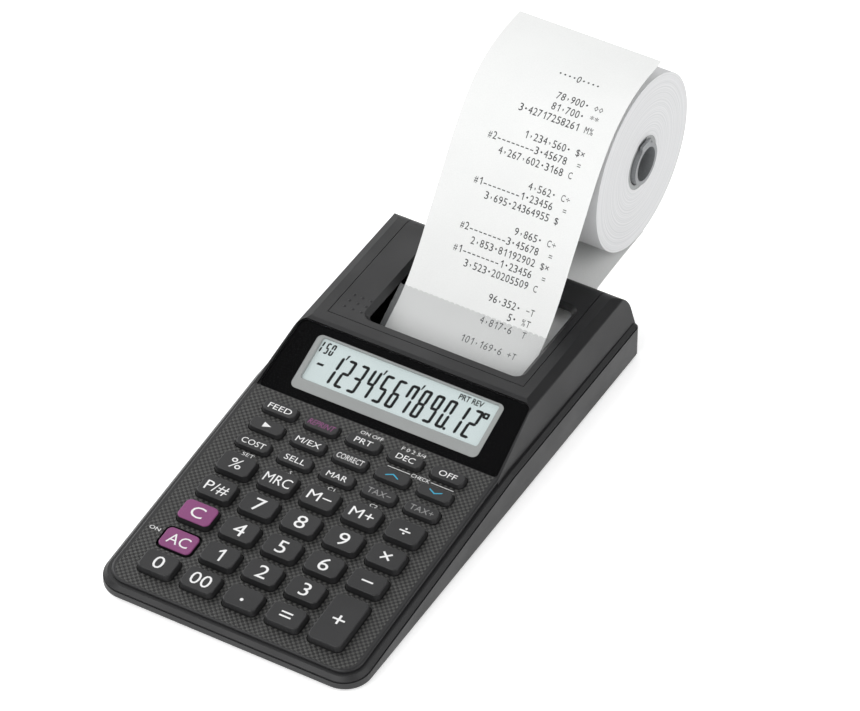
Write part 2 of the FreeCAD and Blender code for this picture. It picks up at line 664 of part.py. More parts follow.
def shell_outer():
    """The upper case as one closed block: rim, key panel and printer housing."""
    rim = tray("rim", "parting_step", "base + side_front - past", "lip + rim_chamfer")
    joint = profile("joint_plane", side_profile("-past", "base - 2 * past", "0"), "half_width + 2 * past")
    rim = cut("rim_band", rim, joint)
    low = size("base") + size("side_front")
    slope = math.tan(math.radians(size("side_tilt")))

    def top_edge(edge):
        """An edge of the rim's outline that lies on its upper face."""
        for point in ends(edge):
            level = min(low + point.y * slope, size("base") + size("side_rear"))
            if abs(point.z - level - size("lip") - size("rim_chamfer")) > 4 * TOUCHING:
                return False
        middle = edge.valueAt((edge.FirstParameter + edge.LastParameter) / 2)
        across = abs(middle.x) < size("half_width") / 2
        return not (across and APART < middle.y < size("case_length") - APART)

    rim = chamfer("rim_bevel", rim, top_edge, size("rim_chamfer"))
    tilt = "tan(panel_tilt * 1deg)"
    panel = profile("panel_block", [
        ("panel_inset", "base + side_front"), ("panel_inset", f"panel_base + panel_inset * {tilt}"),
        ("window_foot + panel_lap", f"panel_base + (window_foot + panel_lap) * {tilt}"),
        ("window_foot + panel_lap", "base + side_front"),
    ], "panel_half")
    panel = fillet("panel_corners", panel, at_front, size("panel_corner"))
    rise = math.tan(math.radians(size("panel_tilt")))

    def panel_edge(edge):
        """An edge round the key panel's face, short of the window."""
        points = [edge.valueAt(edge.FirstParameter + t * (edge.LastParameter - edge.FirstParameter))
                  for t in (0, 0.5, 1)]
        on_top = all(abs(p.z - size("panel_base") - p.y * rise) < TOUCHING for p in points)
        return on_top and points[1].y < size("window_foot") + NEAR

    panel = fillet("panel_rounded", panel, panel_edge, size("panel_round"))
    return cut("upper_outer", fuse("upper_outer_whole", rim, panel, hump("hump_outer", "0")), joint)


def shell_room():
    """The space inside the upper case, with the screw posts left standing in it."""
    tilt = "tan(panel_tilt * 1deg)"
    under = "panel_wall / cos(panel_tilt * 1deg)"
    front = "panel_inset + panel_wall"
    rear = "window_foot + past"
    below = profile("panel_room_block", [
        (front, "base"), (front, f"panel_base - {under} + ({front}) * {tilt}"),
        (rear, f"panel_base - {under} + ({rear}) * {tilt}"), (rear, "base"),
    ], "panel_half - panel_wall")
    below = fillet("panel_room", below, at_front, size("panel_corner") - size("panel_wall"))
    behind = hump("hump_room", "wall")
    room = fuse("upper_room_whole", below, behind)
    return cut("upper_room", room, bosses("upper_posts", "base", "hump_top"))


def window_outline(name, gap, low, high):
    """The display window's sheet: wider at its foot than at its head, its upper corners rounded."""
    foot = f"half_width - window_margin_foot + ({gap})"
    head = f"half_width - window_margin_head + ({gap})"
    start, stop = f"window_start - ({gap})", f"slope_length - window_head_gap + ({gap})"
    sketch = outline(name + "_outline", [(f"-({foot})", start), (foot, start), (head, stop),
                                         (f"-({head})", stop)], "XY")
    plate = extrude(name + "_plate", sketch, (0, 0, 1), high, f"-({low})")

    def upper(edge):
        """An upright edge at the sheet's head."""
        return upright(edge) and ends(edge)[0].y > size("slope_length") / 2

    return fillet(name, plate, upper, size("window_corner"))


def cover_zone(name, gap, low):
    """The block of space over the printer: the gap is how far the block stays inside the opening."""
    return box(name, (f"-cover_half + {gap}", f"cover_half - {gap}"),
               (f"cover_front + {gap}", "case_length + past"), (f"base + {low}", "hump_top + past"))


def top_case(outer_shell):
    """The upper half: rim, textured key panel, window recess, printer housing."""
    recess = on_window(window_outline("window_recess", "window_fit", "-window_thick", "past"))
    bed = box("display_bed_block", ("-display_wide / 2 - bed_fit", "display_wide / 2 + bed_fit"),
              ("display_up - bed_fit", "display_up + display_deep + bed_fit"),
              ("-bed_deep", "-window_thick"))
    bed = on_window(group("display_bed", [bed]))
    cover = cover_zone("cover_gap", "0", "slot_low")
    openings = group("key_holes", [on_panel_copy(f"hole_{name}", master, x, along)
                                   for name, master, x, along in hole_list()])
    holes = group("upper_screw_holes", screw_set("upper_hole", "screw_radius", "base",
                                                 "screw_long + head_thick + screw_end"))
    return cut("top_case", outer_shell, recess, bed, cover, openings, holes)


# ---------------------------------------------------------------- keys
def key_master(name, deep, high, flare="key_flare"):
    """A key in its own frame: cap with leaning sides, skirt through the panel, flange below it."""
    body = doc.addObject("PartDesign::Body", name)
    wide_half, deep_half = "key_wide / 2", f"{deep} / 2"
    skirt = body.newObject("PartDesign::AdditiveBox", name + "_skirt")
    bind(skirt, Length=f"key_wide + 2 * {flare}", Width=f"{deep} + 2 * {flare}",
         Height="key_under + skirt_lap",
         **{"Placement.Base.x": f"-({wide_half}) - {flare}", "Placement.Base.y": f"-({deep_half}) - {flare}",
            "Placement.Base.z": "-key_under"})
    cap = body.newObject("PartDesign::AdditiveWedge", name + "_cap")
    cap.Placement = Placement(Vector(), Rotation(Vector(1, 0, 0), 90))
    bind(cap, Xmin=f"-({wide_half}) - {flare}", Xmax=f"({wide_half}) + {flare}", Ymin="0.0", Ymax=high,
         Zmin=f"-({deep_half}) - {flare}", Zmax=f"({deep_half}) + {flare}", X2min=f"-({wide_half})",
         X2max=wide_half, Z2min=f"-({deep_half})", Z2max=deep_half)
    doc.recompute()

    def standing(edge):
        """An edge that runs up a corner of the cap."""
        start, stop = ends(edge)
        return abs(start.z - stop.z) > size("flush_high") / 2 and abs(start.x - stop.x) < size(deep) / 2

    names = [f"Edge{i}" for i in edges_of(cap, standing)]
    rounded = body.newObject("PartDesign::Fillet", name + "_corners")
    rounded.Base = (cap, names)
    bind(rounded, Radius="key_corner")
    doc.recompute()
    crown = max(v.Z for v in rounded.Shape.Vertexes)
    names = [f"Edge{i}" for i in edges_of(rounded, lambda e: min(p.z for p in ends(e)) > crown - TOUCHING)]
    edged = body.newObject("PartDesign::Fillet", name + "_edge")
    edged.Base = (rounded, names)
    bind(edged, Radius="key_edge")
    flange = body.newObject("PartDesign::AdditiveBox", name + "_flange")
    bind(flange, Length=f"key_wide + 2 * {flare} + 2 * key_flange",
         Width=f"{deep} + 2 * {flare} + 2 * key_flange", Height="flange_thick",
         **{"Placement.Base.x": f"-({wide_half}) - {flare} - key_flange",
            "Placement.Base.y": f"-({deep_half}) - {flare} - key_flange",
            "Placement.Base.z": "-key_under - flange_thick"})
    body.Tip = flange
    doc.recompute()
    return body


def hole_master(name, deep, fit):
    """The panel's hole for a key, as a block with rounded corners."""
    wide = f"key_wide / 2 + key_flare + {fit}"
    long = f"({deep}) / 2 + key_flare + {fit}"
    block = box(name + "_block", (f"-({wide})", wide), (f"-({long})", long), ("-hole_reach", "hole_reach"))
    return fillet(name, block, upright, size("key_corner") + size(fit))


def on_panel_copy(name, master, x, along):
    """A copy of a master solid at a key's place."""
    return on_panel(group(name, [master]), x, along)


def key_spots():
    """Every key's name, kind and place: X and the distance up the panel."""
    spots = []
    for line, names in enumerate(SMALL_ROWS):
        along = f"small_row + {len(SMALL_ROWS) - 1 - line} * small_pitch"
        spots += [(name, "small", column, along) for column, name in enumerate(names)]
    for line, names in enumerate(MAIN_ROWS):
        along = f"first_row + {len(MAIN_ROWS) - 1 - line} * row_pitch"
        for column, name in enumerate(names):
            kind = "flush" if name == "key_all_clear" else "main"
            spots.append((name, kind, column, along))
    spots.append(("key_plus", "tall", COLUMNS - 1, "first_row + 0.5 * row_pitch"))
    middle = (COLUMNS - 1) / 2
    return [(name, kind, f"{column - middle} * column_pitch", along) for name, kind, column, along in spots]


def hole_list():
    """The panel's hole for every key: name, block and place."""
    masters = {
        "main": hole_master("hole_main", "key_deep", "key_fit"),
        "flush": hole_master("hole_flush", "key_deep", "flush_fit"),
        "tall": hole_master("hole_tall", "tall_deep", "key_fit"),
        "small": hole_master("hole_small", "small_deep", "key_fit"),
    }
    return [(name, masters[kind], x, along) for name, kind, x, along in key_spots()]


def keys():
    """All the keys, each a node of its own."""
    masters = {
        "main": key_master("master_main", "key_deep", "key_high"),
        "flush": key_master("master_flush", "key_deep", "flush_high", "flush_flare"),
        "tall": key_master("master_tall", "tall_deep", "key_high"),
        "small": key_master("master_small", "small_deep", "small_high"),
    }
    return [on_panel_copy(name, masters[kind], x, along) for name, kind, x, along in key_spots()]


# ---------------------------------------------------------------- display
def display_window():
    """The clear sheet over the display."""
    return on_window(window_outline("display_window", "0", "-window_thick", "0"))


def lcd_module():
    """The grey frame behind the window with the liquid crystal panel under it."""
    wide, top = "display_wide / 2", "-(window_thick + display_gap)"
    plate = box("frame_plate", (f"-{wide}", wide), ("display_up", "display_up + display_deep"),
                (f"{top} - frame_thick", top))
    hole = box("frame_hole", (f"-{wide} + display_side", f"{wide} - display_side"),
               ("display_up + display_sill", "display_up + display_deep - display_head"),
               (f"{top} - frame_thick - past", "past"))
    below = f"{top} - frame_thick - display_gap"
    glass = box("lcd_glass", (f"-{wide} + display_side - lcd_lap_side",
                              f"{wide} - display_side + lcd_lap_side"),
                ("display_up + display_sill - lcd_lap_front",
                 "display_up + display_deep - display_head + lcd_lap_rear"),
                (f"{below} - lcd_thick", below))
    return on_window(group("lcd_module", [cut("frame_ring", plate, hole), glass]))


# ---------------------------------------------------------------- electronics
def board():
    """The main circuit board, parallel to the key panel."""
    half = "board_wide / 2"
    top = "-(sheet_top + sheet_thick + board_gap)"
    plate = box("board_plate", (f"-({half})", half), ("board_front", "board_rear"),
                (f"{top} - board_thick", top))
    return on_panel(group("circuit_board", [plate]))


def contact_sheet():
    """The rubber sheet that the keys press on."""
    half = "board_wide / 2 - sheet_inset"
    plate = box("sheet_plate", (f"-({half})", half),
                ("board_front + sheet_inset", "board_rear - sheet_inset"),
                ("-(sheet_top + sheet_thick)", "-sheet_top"))
    return on_panel(group("key_contact_sheet", [plate]))


# ---------------------------------------------------------------- printer
def gear_shape(teeth, bore):
    """A spur gear on the X axis, with plain tapered teeth and one gap pointing up."""
    module, width, past = size("gear_module"), size("gear_wide"), size("past")
    pitch = teeth * module / 2
    foot, tip = pitch - size("tooth_below") * module, pitch + size("tooth_above") * module
    valley, crown = size("tooth_valley"), size("tooth_tip")
    points = []
    for tooth in range(int(teeth)):
        for share, radius in ((-valley, foot), (valley, foot), (0.5 - crown, tip), (0.5 + crown, tip)):
            angle = 2 * math.pi * (tooth + share) / teeth
            points.append(Vector(0, radius * math.sin(angle), radius * math.cos(angle)))
    points.append(points[0])
    disc = Part.Face(Part.makePolygon(points)).extrude(Vector(width, 0, 0))
    return disc.cut(Part.makeCylinder(bore, width + 2 * past, Vector(-past, 0, 0), Vector(1, 0, 0)))


def platen():
    """The rubber platen on its shaft, with its gear at the left end."""
    y, z = "platen_y", "platen_z"
    roller = rod("platen_rubber", "platen_radius", "paper_left - platen_over", y, z,
                 "paper_wide + 2 * platen_over", "x")
    left = "gear_left - shaft_left"
    shaft = rod("platen_shaft", "shaft_radius", left, y, z,
                f"cheek_right + cheek + shaft_right - ({left})", "x")
    gear = doc.addObject("Part::Feature", "platen_gear_shape")
    gear.Shape = gear_shape(size("platen_teeth"), size("shaft_radius") - size("hub_lap"))
    place(gear, "gear_left", y, z)
    return fuse("platen_roller", roller, shaft, gear)


def pinion():
    """The motor's pinion, turned so that its teeth sit in the platen gear's gaps."""
    gear = doc.addObject("Part::Feature", "pinion_teeth_shape")
    shape = gear_shape(size("pinion_teeth"), size("pin_radius") - size("hub_lap"))
    # The line of centres leans this far from straight up, and both gears have a gap straight up.
    lean = 90 - size("motor_angle")
    platen_step, pinion_step = 360 / size("platen_teeth"), 360 / size("pinion_teeth")
    past_tooth = (lean / platen_step - 0.5) % 1.0
    shape.rotate(Vector(), Vector(1, 0, 0), -(lean + 180 + past_tooth * pinion_step))
    gear.Shape = shape
    place(gear, "gear_left", "motor_y", "motor_z")
    pin = rod("pinion_shaft", "pin_radius", "gear_left - pin_behind", "motor_y", "motor_z",
              "gear_wide + pin_behind + pin_front", "x")
    return fuse("motor_pinion", gear, pin)


def motor():
    """The printer's motor can, beside the left gears."""
    can = rod("motor_can", "motor_radius", "gear_left - motor_gap - motor_long", "motor_y", "motor_z",
              "motor_long", "x")
    return group("printer_motor", [can])


def printer_frame():
    """Two side plates with bearing holes, tied by a front bar and the paper guide."""
    rear = "platen_y + platen_radius + frame_behind"
    plates = []
    for tag, x in (("left", "cheek_left - cheek"), ("right", "cheek_right")):
        plates.append(box(f"cheek_{tag}", (x, f"{x} + cheek"), ("frame_front", rear),
                          ("base + floor", "base + frame_high")))
    across = ("cheek_left - cheek_lap", "cheek_right + cheek_lap")
    bar = box("front_bar", across, ("frame_front", "frame_front + bar_thick"),
              ("base + floor", "base + bar_high"))
    guide = box("paper_guide", across, ("platen_y - guide_half", "platen_y + guide_half"),
                ("base + floor", "base + floor + guide_thick"))
    frame = fuse("frame_plates", *plates, bar, guide)
    bearing = rod("platen_bearing", "shaft_radius + bearing_fit", "-half_width", "platen_y", "platen_z",
                  "case_width", "x")
    ink_bearing = rod("ink_bearing", "ink_shaft + bearing_fit", "-half_width", "ink_y", "ink_z",
                      "case_width", "x")
    return cut("printer_frame", frame, bearing, ink_bearing)


def ink_roller():
    """The felt ink roller on its spindle."""
    felt = rod("ink_felt", "ink_radius", "paper_centre - ink_wide / 2", "ink_y", "ink_z", "ink_wide", "x")
    pin = rod("ink_pin", "ink_shaft", "cheek_left - cheek - ink_end", "ink_y", "ink_z",
              "cheek_right - cheek_left + 2 * (cheek + ink_end)", "x")
    return fuse("ink_roller", felt, pin)


def printer_cover(shell):
    """The removable lid over the printer, with the opening that the paper comes out of."""
    lid = common("cover_blank", shell, cover_zone("cover_body", "cover_fit", "cover_low + cover_fit"))
    throat = box("throat_block", ("paper_left - throat_left", "paper_right + throat_right"),
                 ("throat_front", "throat_front + throat_deep"), ("base", "hump_top + past"))
    throat = fillet("throat", throat, upright, size("throat_corner"))
    lid = cut("cover_open", lid, throat)
    left, right = size("paper_left") - size("throat_left"), size("paper_right") + size("throat_right")
    front, back = size("throat_front"), size("throat_front") + size("throat_deep")

    def mouth_edge(edge):
        """An edge of the paper opening on the lid's upper face."""
        middle = edge.valueAt((edge.FirstParameter + edge.LastParameter) / 2)
        return (middle.z > size("hump_top") - TOUCHING and left - TOUCHING < middle.x < right + TOUCHING
                and front - TOUCHING < middle.y < back + TOUCHING)

    return chamfer("printer_cover", lid, mouth_edge, size("throat_bevel"))


def paper_cutter():
    """The clear plate that lies over the leaving paper, its upper edge toothed for tearing."""
    tilt = "exit_tilt * 1deg"
    left, right = "paper_left - cutter_side", "paper_right + throat_right - cutter_fit"
    plate = box("cutter_plate", ("0", f"({right}) - ({left})"), ("0", "cutter_deep"), ("0", "cutter_thick"))
    teeth = []
    pitch = f"(({right}) - ({left})) / cutter_count"
    for number in range(int(size("cutter_count"))):
        valley = [(f"{number} * {pitch}", "cutter_deep + cutter_teeth"),
                  (f"({number} + 0.5) * {pitch}", "cutter_deep - cutter_teeth"),
                  (f"({number} + 1) * {pitch}", "cutter_deep + cutter_teeth")]
        notch = outline(f"tooth_{number}", valley, "XY")
        teeth.append(extrude(f"tooth_cut_{number}", notch, (0, 0, 1), "cutter_thick + past", "past"))
    toothed = cut("cutter_toothed", plate, group("cutter_notches", teeth))
    whole = group("paper_cutter", [toothed])
    height = ("base + exit_height + (cutter_foot - exit_y) * tan({0}) + cutter_gap / cos({0})").format(tilt)
    return place(whole, left, "cutter_foot", height, (1, 0, 0), "exit_tilt")


# ---------------------------------------------------------------- batteries
def battery_door():
    """The sliding battery door: plate, tongues over the floor and a lip in the rear wall."""
    left, right = "paper_centre - door_half + door_fit", "paper_centre + door_half - door_fit"
    front = "door_front + door_fit"
    plate = box("door_plate", (left, right), (front, "case_length"), ("base", "base + door_thick"))
    run = (f"{front} + tongue_start", "cell_rear - tongue_end")
    low, high = "base + floor + tongue_gap", "base + floor + tongue_gap + tongue_thick"
    sunk = "base + door_thick - door_sink"
    tongues = [
        box("door_tongue_left", (f"{left} - door_rail", f"{left} + door_web"), run, (low, high)),
        box("door_tongue_right", (f"{right} - door_web", f"{right} + door_rail"), run, (low, high)),
        box("door_web_left", (left, f"{left} + door_web"), run, (sunk, high)),
        box("door_web_right", (f"{right} - door_web", right), run, (sunk, high)),
    ]
    lip = box("door_lip_plate", (left, right), ("case_length - wall + door_lip_fit", "case_length"),
              ("base", "base + door_lip - door_fit"))
    return fuse("battery_door", plate, lip, *tongues)


def batteries():
    """The cells side by side under the paper, each with its raised contact."""
    cells = []
    for number in range(int(size("cell_count"))):
        x = f"paper_centre - cells_half + ({number} + 0.5) * cell_pitch"
        z = "base + floor + cell_lift + cell_radius"
        can = rod(f"cell_can_{number}", "cell_radius", x, "cell_rear - cell_long", z,
                  "cell_long - tip_long", "y")
        tip = rod(f"cell_tip_{number}", "tip_radius", x, "cell_rear - tip_long - tip_lap", z,
                  "tip_long + tip_lap", "y")
        cells.append(fuse(f"cell_{number}", can, tip))
    return group("batteries", cells)


# ---------------------------------------------------------------- paper supply
def roll_holder():
    """A side arm screwed to the rear wall, its hooked spindle reaching through the roll."""
    left = "arm_right - arm_thick"
    low = "base + arm_foot - beam_drop"
    beam = profile("arm_beam_flat", [
        ("case_length + beam_start", low), ("case_length + beam_start", f"{low} + arm_wide"),
        ("roll_y + arm_eye * cos(beam_upper * 1deg)", "roll_z + arm_eye * sin(beam_upper * 1deg)"),
        ("roll_y + arm_eye * cos(beam_lower * 1deg)", "roll_z - arm_eye * sin(beam_lower * 1deg)"),
    ], "arm_thick / 2")
    beam = place(group("arm_beam", [beam]), "arm_right - arm_thick / 2")
    eye = rod("arm_eye_disc", "arm_eye", left, "roll_y", "roll_z", "arm_thick", "x")
    middle = "arm_right - arm_thick / 2"
    under_slot = "base + slot_low - pad_under"
    pad = box("arm_pad_plate", (f"{middle} - arm_pad / 2", f"{middle} + arm_pad / 2"),
              ("case_length", "case_length + pad_thick"), ("base + arm_foot - pad_drop", under_slot))
    tab = box("arm_tab", (f"{middle} - tab_wide / 2", f"{middle} + tab_wide / 2"),
              ("hump_end", "case_length + tab_lap"),
              ("base + side_rear + lip + rim_chamfer + tab_fit", under_slot))
    tube = rod("spindle_tube", "spindle_radius", left, "roll_y", "roll_z",
               f"paper_right + spindle_end - ({left})", "x")
    bore = rod("spindle_bore", "spindle_radius - spindle_wall", f"{left} - past", "roll_y", "roll_z",
               f"paper_right + spindle_end - ({left}) + 2 * past", "x")
    hook = box("spindle_hook", ("paper_right + spindle_end - hook_wide", "paper_right + spindle_end"),
               ("roll_y - hook_half", "roll_y + hook_half"),
               ("roll_z + spindle_radius - spindle_wall", "roll_z + spindle_radius + hook_rise"))
    solid = fuse("holder_solid", beam, eye, pad, tab, tube)
    return fuse("roll_holder", cut("holder_bored", solid, bore), hook)


def paper_roll():
    """The wound paper."""
    outer = rod("roll_outer", "roll_radius", "paper_left", "roll_y", "roll_z", "paper_wide", "x")
    inner = rod("roll_inner", "core_outer", "paper_left - past", "roll_y", "roll_z",
                "paper_wide + 2 * past", "x")
    return cut("paper_roll", outer, inner)


def roll_core():
    """The tube that the paper is wound on."""
    outer = rod("core_tube", "core_outer", "paper_left + core_proud", "roll_y", "roll_z",
                "paper_wide - 2 * core_proud", "x")
    inner = rod("core_bore", "core_inner", "paper_left - past", "roll_y", "roll_z",
                "paper_wide + 2 * past", "x")
    return cut("roll_core", outer, inner)


def strip_middle():
    """The paper's middle line as (Y, Z) points, from the roll's underside to its free end."""
    base, py, pz = size("base"), size("platen_y"), size("platen_z")
    reach = size("platen_radius") + size("wrap_gap")
    roll_y, roll_z, radius = size("roll_y"), size("roll_z"), size("roll_radius")
    below = roll_z - radius - size("tape_gap")
    sill = base + (size("slot_low") + size("cover_low")) / 2
    feed = ([(roll_y + y, below + z) for y, z in FEED_ROLL]
            + [(size("case_length") + y, sill + z) for y, z in FEED_SLOT]
            + [(size("cell_rear") + y, base + z) for y, z in FEED_CELLS])
    first, last = -size("wrap_start"), size("exit_tilt") - 270
    turns = [math.radians(first + step * (last - first) / WRAP_STEPS) for step in range(WRAP_STEPS + 1)]
    wrap = [(py + reach * math.cos(turn), pz + reach * math.sin(turn)) for turn in turns]
    tilt = math.radians(size("exit_tilt"))
    rise = [(size("exit_y") + along * math.cos(tilt), base + size("exit_height") + along * math.sin(tilt))
            for along in RISE_ALONG]
    curl = [(roll_y + radius * a, roll_z + radius * b) for a, b in FREE_END]
    return feed, wrap, rise, curl


def paper_tape():
    """The strip: off the roll, in by the rear slot, round the platen, out and back over the roll."""
    feed, wrap, rise, curl = strip_middle()
    line = Part.BSplineCurve()
    line.interpolate([Vector(0, y, z) for y, z in feed + wrap + rise + curl])
    span = line.LastParameter - line.FirstParameter
    sides = ([], [])
    for step in range(STRIP_STEPS + 1):
        at = line.FirstParameter + span * step / STRIP_STEPS
        point, along = line.value(at), line.tangent(at)[0]
        across = Vector(0, -along.z, along.y) * (size("paper_thick") / 2)
        sides[0].append(point + across)
        sides[1].append(point - across)
    faces = []
    for side in sides:
        curve = Part.BSplineCurve()
        curve.interpolate(side)
        faces.append(curve.toShape())
    caps = [Part.LineSegment(sides[0][i], sides[1][i]).toShape() for i in (0, -1)]
    wire = Part.Wire(Part.__sortEdges__([faces[0], caps[1], faces[1], caps[0]]))
    strip = doc.addObject("Part::Feature", "paper_tape")
    strip.Shape = Part.Face(wire).extrude(Vector(size("paper_wide"), 0, 0))
    return place(strip, "paper_left")


# ---------------------------------------------------------------- build, check and write
def build():
    """Makes every sub-part and gives each its own label."""
    outer = shell_outer()
    shell = cut("upper_shell", outer, shell_room())
    pieces = [bottom_case(), top_case(shell), printer_cover(shell), display_window(), lcd_module(),
              paper_cutter(), roll_holder(), paper_roll(), roll_core(), paper_tape(), printer_frame(),
              platen(), motor(), pinion(), ink_roller(), board(), contact_sheet(), battery_door(),
              batteries()]
    pieces.append(group("rubber_feet", feet_set("foot", "foot_radius", "0", "base + foot_seat")))
    shanks = screw_set("screw_shank", "screw_radius", "base + head_thick", "screw_long")
    heads = screw_set("screw_head", "head_radius", "base + head_rest", "head_thick - head_rest")
    pieces.append(group("case_screws", [fuse(f"screw_{i}", a, b)
                                        for i, (a, b) in enumerate(zip(shanks, heads))]))
    return pieces + keys()


def centred(piece):
    """The finished sub-part, placed so that the frame's zero is under the middle of the whole object."""
    name = piece.Name
    piece.Label = name + "_shape"
    whole = group(name + "_placed", [piece])
    whole.Label = name
    return place(whole, y="-middle_y")


pieces = [centred(piece) for piece in build()]
doc.recompute()
for thing in doc.Objects:
    for state in ("Invalid", "Error"):
        if state in thing.State:
            raise RuntimeError(f"{thing.Name} is {state}")
for piece in pieces:
    if piece.Shape.isNull() or not piece.Shape.isValid() or not piece.Shape.Solids:
        raise RuntimeError(f"{piece.Name} has no valid solid")

os.makedirs("parts", exist_ok=True)
for piece in pieces:
    piece.Shape.exportStep(f"parts/{piece.Label}.step")
print(len(pieces), "pieces")
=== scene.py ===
"""Looks of a printing desk calculator: finishes, key legends, display, printed strip and small trim."""
import logging
import math
from dataclasses import dataclass, field
from enum import Enum
from typing import Callable, Sequence

import bpy
import numpy as np
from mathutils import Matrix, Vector


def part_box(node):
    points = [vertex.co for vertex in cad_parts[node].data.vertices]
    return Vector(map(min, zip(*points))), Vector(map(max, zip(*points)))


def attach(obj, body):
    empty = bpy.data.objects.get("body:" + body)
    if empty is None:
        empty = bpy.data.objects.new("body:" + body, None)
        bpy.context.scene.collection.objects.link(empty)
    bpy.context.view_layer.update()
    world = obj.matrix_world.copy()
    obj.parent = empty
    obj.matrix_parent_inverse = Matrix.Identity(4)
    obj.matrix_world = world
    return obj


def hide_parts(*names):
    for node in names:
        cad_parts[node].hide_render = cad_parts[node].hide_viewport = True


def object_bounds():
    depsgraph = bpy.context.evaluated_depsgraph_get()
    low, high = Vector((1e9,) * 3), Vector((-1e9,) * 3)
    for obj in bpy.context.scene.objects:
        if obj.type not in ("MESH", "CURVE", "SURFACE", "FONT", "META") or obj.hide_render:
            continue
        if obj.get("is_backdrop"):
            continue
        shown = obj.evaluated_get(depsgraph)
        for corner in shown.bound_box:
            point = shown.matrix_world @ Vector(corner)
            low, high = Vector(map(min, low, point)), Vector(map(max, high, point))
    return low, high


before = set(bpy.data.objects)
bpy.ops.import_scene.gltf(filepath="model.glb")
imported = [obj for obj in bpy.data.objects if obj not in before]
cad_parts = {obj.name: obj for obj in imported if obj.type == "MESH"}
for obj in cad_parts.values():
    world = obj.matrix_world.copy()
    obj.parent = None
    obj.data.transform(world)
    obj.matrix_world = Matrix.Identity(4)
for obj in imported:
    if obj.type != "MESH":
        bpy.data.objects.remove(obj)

log = logging.getLogger("calculator")
MM = 0.001
Array = np.ndarray
Carry = Callable[[Array], Array]
Tree = bpy.types.NodeTree
Source = bpy.types.Node | bpy.types.NodeSocket
Look = tuple[Source, Source | None]


# ---------------------------------------------------------------- colour and nodes
def linear(colour: str, alpha: float = 1.0) -> tuple[float, float, float, float]:
    """Turns an sRGB hex colour into the linear numbers that shaders take.

    Args:
        colour: six hex digits.
        alpha: how much the surface covers what is behind it.
    Returns:
        Red, green, blue and alpha, each from 0 to 1.
    """
    parts = np.array([int(colour[i:i + 2], 16) for i in (0, 2, 4)]) / 255.0
    lin = np.where(parts <= 0.04045, parts / 12.92, ((parts + 0.055) / 1.055) ** 2.4)
    return (float(lin[0]), float(lin[1]), float(lin[2]), alpha)


def add(tree: Tree, kind: str, links: dict[int | str, object] | None = None,
        **settings: object) -> bpy.types.Node:
    """Adds one node, sets it up and links its inputs.

    Args:
        tree: the node tree to add to.
        kind: the node's type name without its "ShaderNode" prefix.
        links: input name or number to a node, which is read at its first output, to one output of a
            node, or to a plain value for that input.
        settings: properties of the node itself, such as operation.
    Returns:
        The new node.
    """
    node = tree.nodes.new("ShaderNode" + kind)
    for name, value in settings.items():
        setattr(node, name, value)
    for name, value in (links or {}).items():
        source = value.outputs[0] if isinstance(value, bpy.types.Node) else value
        if isinstance(source, bpy.types.NodeSocket):
            tree.links.new(source, node.inputs[name])
        else:
            node.inputs[name].default_value = source
    return node


# ---------------------------------------------------------------- meshes and working planes
def read(items: bpy.types.bpy_prop_collection, what: str, wide: int) -> Array:
    """Reads one property of all of a mesh's vertices, corners or faces.

    Args:
        items: the vertices, corners or faces.
        what: the property's name.
        wide: how many numbers it has.
    Returns:
        One row for each item.
    """
    values = np.empty(len(items) * wide)
    items.foreach_get(what, values)
    return values.reshape(-1, wide)


def vertices(node: str) -> Array:
    """Returns a CAD node's vertices in the row frame, one row each."""
    return read(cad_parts[node].data.vertices, "co", 3)


@dataclass(frozen=True)
class Plane:
    """A working plane leaning back about X: its own x runs right, y up the slope and z out of it."""

    tilt: float
    origin: tuple[float, float, float] = (0.0, 0.0, 0.0)

    def turn(self) -> Array:
        """Returns the rotation matrix from the plane's axes to the row's."""
        c, s = math.cos(self.tilt), math.sin(self.tilt)
        return np.array([[1, 0, 0], [0, c, -s], [0, s, c]])

    def out(self, points: Array) -> Array:
        """Carries points in the plane's axes to the row frame: rotate, then add the origin."""
        return points @ self.turn().T + np.array(self.origin)

    def into(self, points: Array) -> Array:
        """Carries points in the row frame into the plane's axes: take the origin off, then unrotate."""
        return (points - np.array(self.origin)) @ self.turn()

    def level(self, height: float) -> Carry:
        """Returns the map from flat points to the row frame, at one height above the plane."""
        return lambda flat: self.out(np.column_stack([flat, np.full(len(flat), height)]))

    @staticmethod
    def on(node: str) -> "Plane":
        """Finds the plane of a CAD node's largest upward flat face.

        Faces are grouped by their tilt about X; the group with the most area wins. Its normal and its
        height are averages weighted by area.

        Args:
            node: the CAD node's name.
        Returns:
            A plane whose origin is at the face's lower edge on X = 0.
        """
        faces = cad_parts[node].data.polygons
        normals, middles, areas = read(faces, "normal", 3), read(faces, "center", 3), read(faces, "area", 1)[:, 0]
        tilts = np.round(np.arctan2(-normals[:, 1], normals[:, 2]), 3)
        upward = (normals[:, 2] > 0.5) & (np.abs(normals[:, 0]) < 0.01)
        totals = {tilt: areas[upward & (tilts == tilt)].sum() for tilt in set(tilts[upward])}
        chosen = upward & (tilts == max(totals, key=totals.get))
        normal = (normals[chosen] * areas[chosen, None]).sum(0)
        flat = Plane(math.atan2(-normal[1], normal[2]))
        height = np.average(flat.into(middles[chosen])[:, 2], weights=areas[chosen])
        points = flat.into(vertices(node))
        low = points[np.abs(points[:, 2] - height) < 0.02 * MM, 1].min()
        place = flat.out(np.array([[0.0, low, height]]))[0]
        return Plane(flat.tilt, tuple(float(v) for v in place))


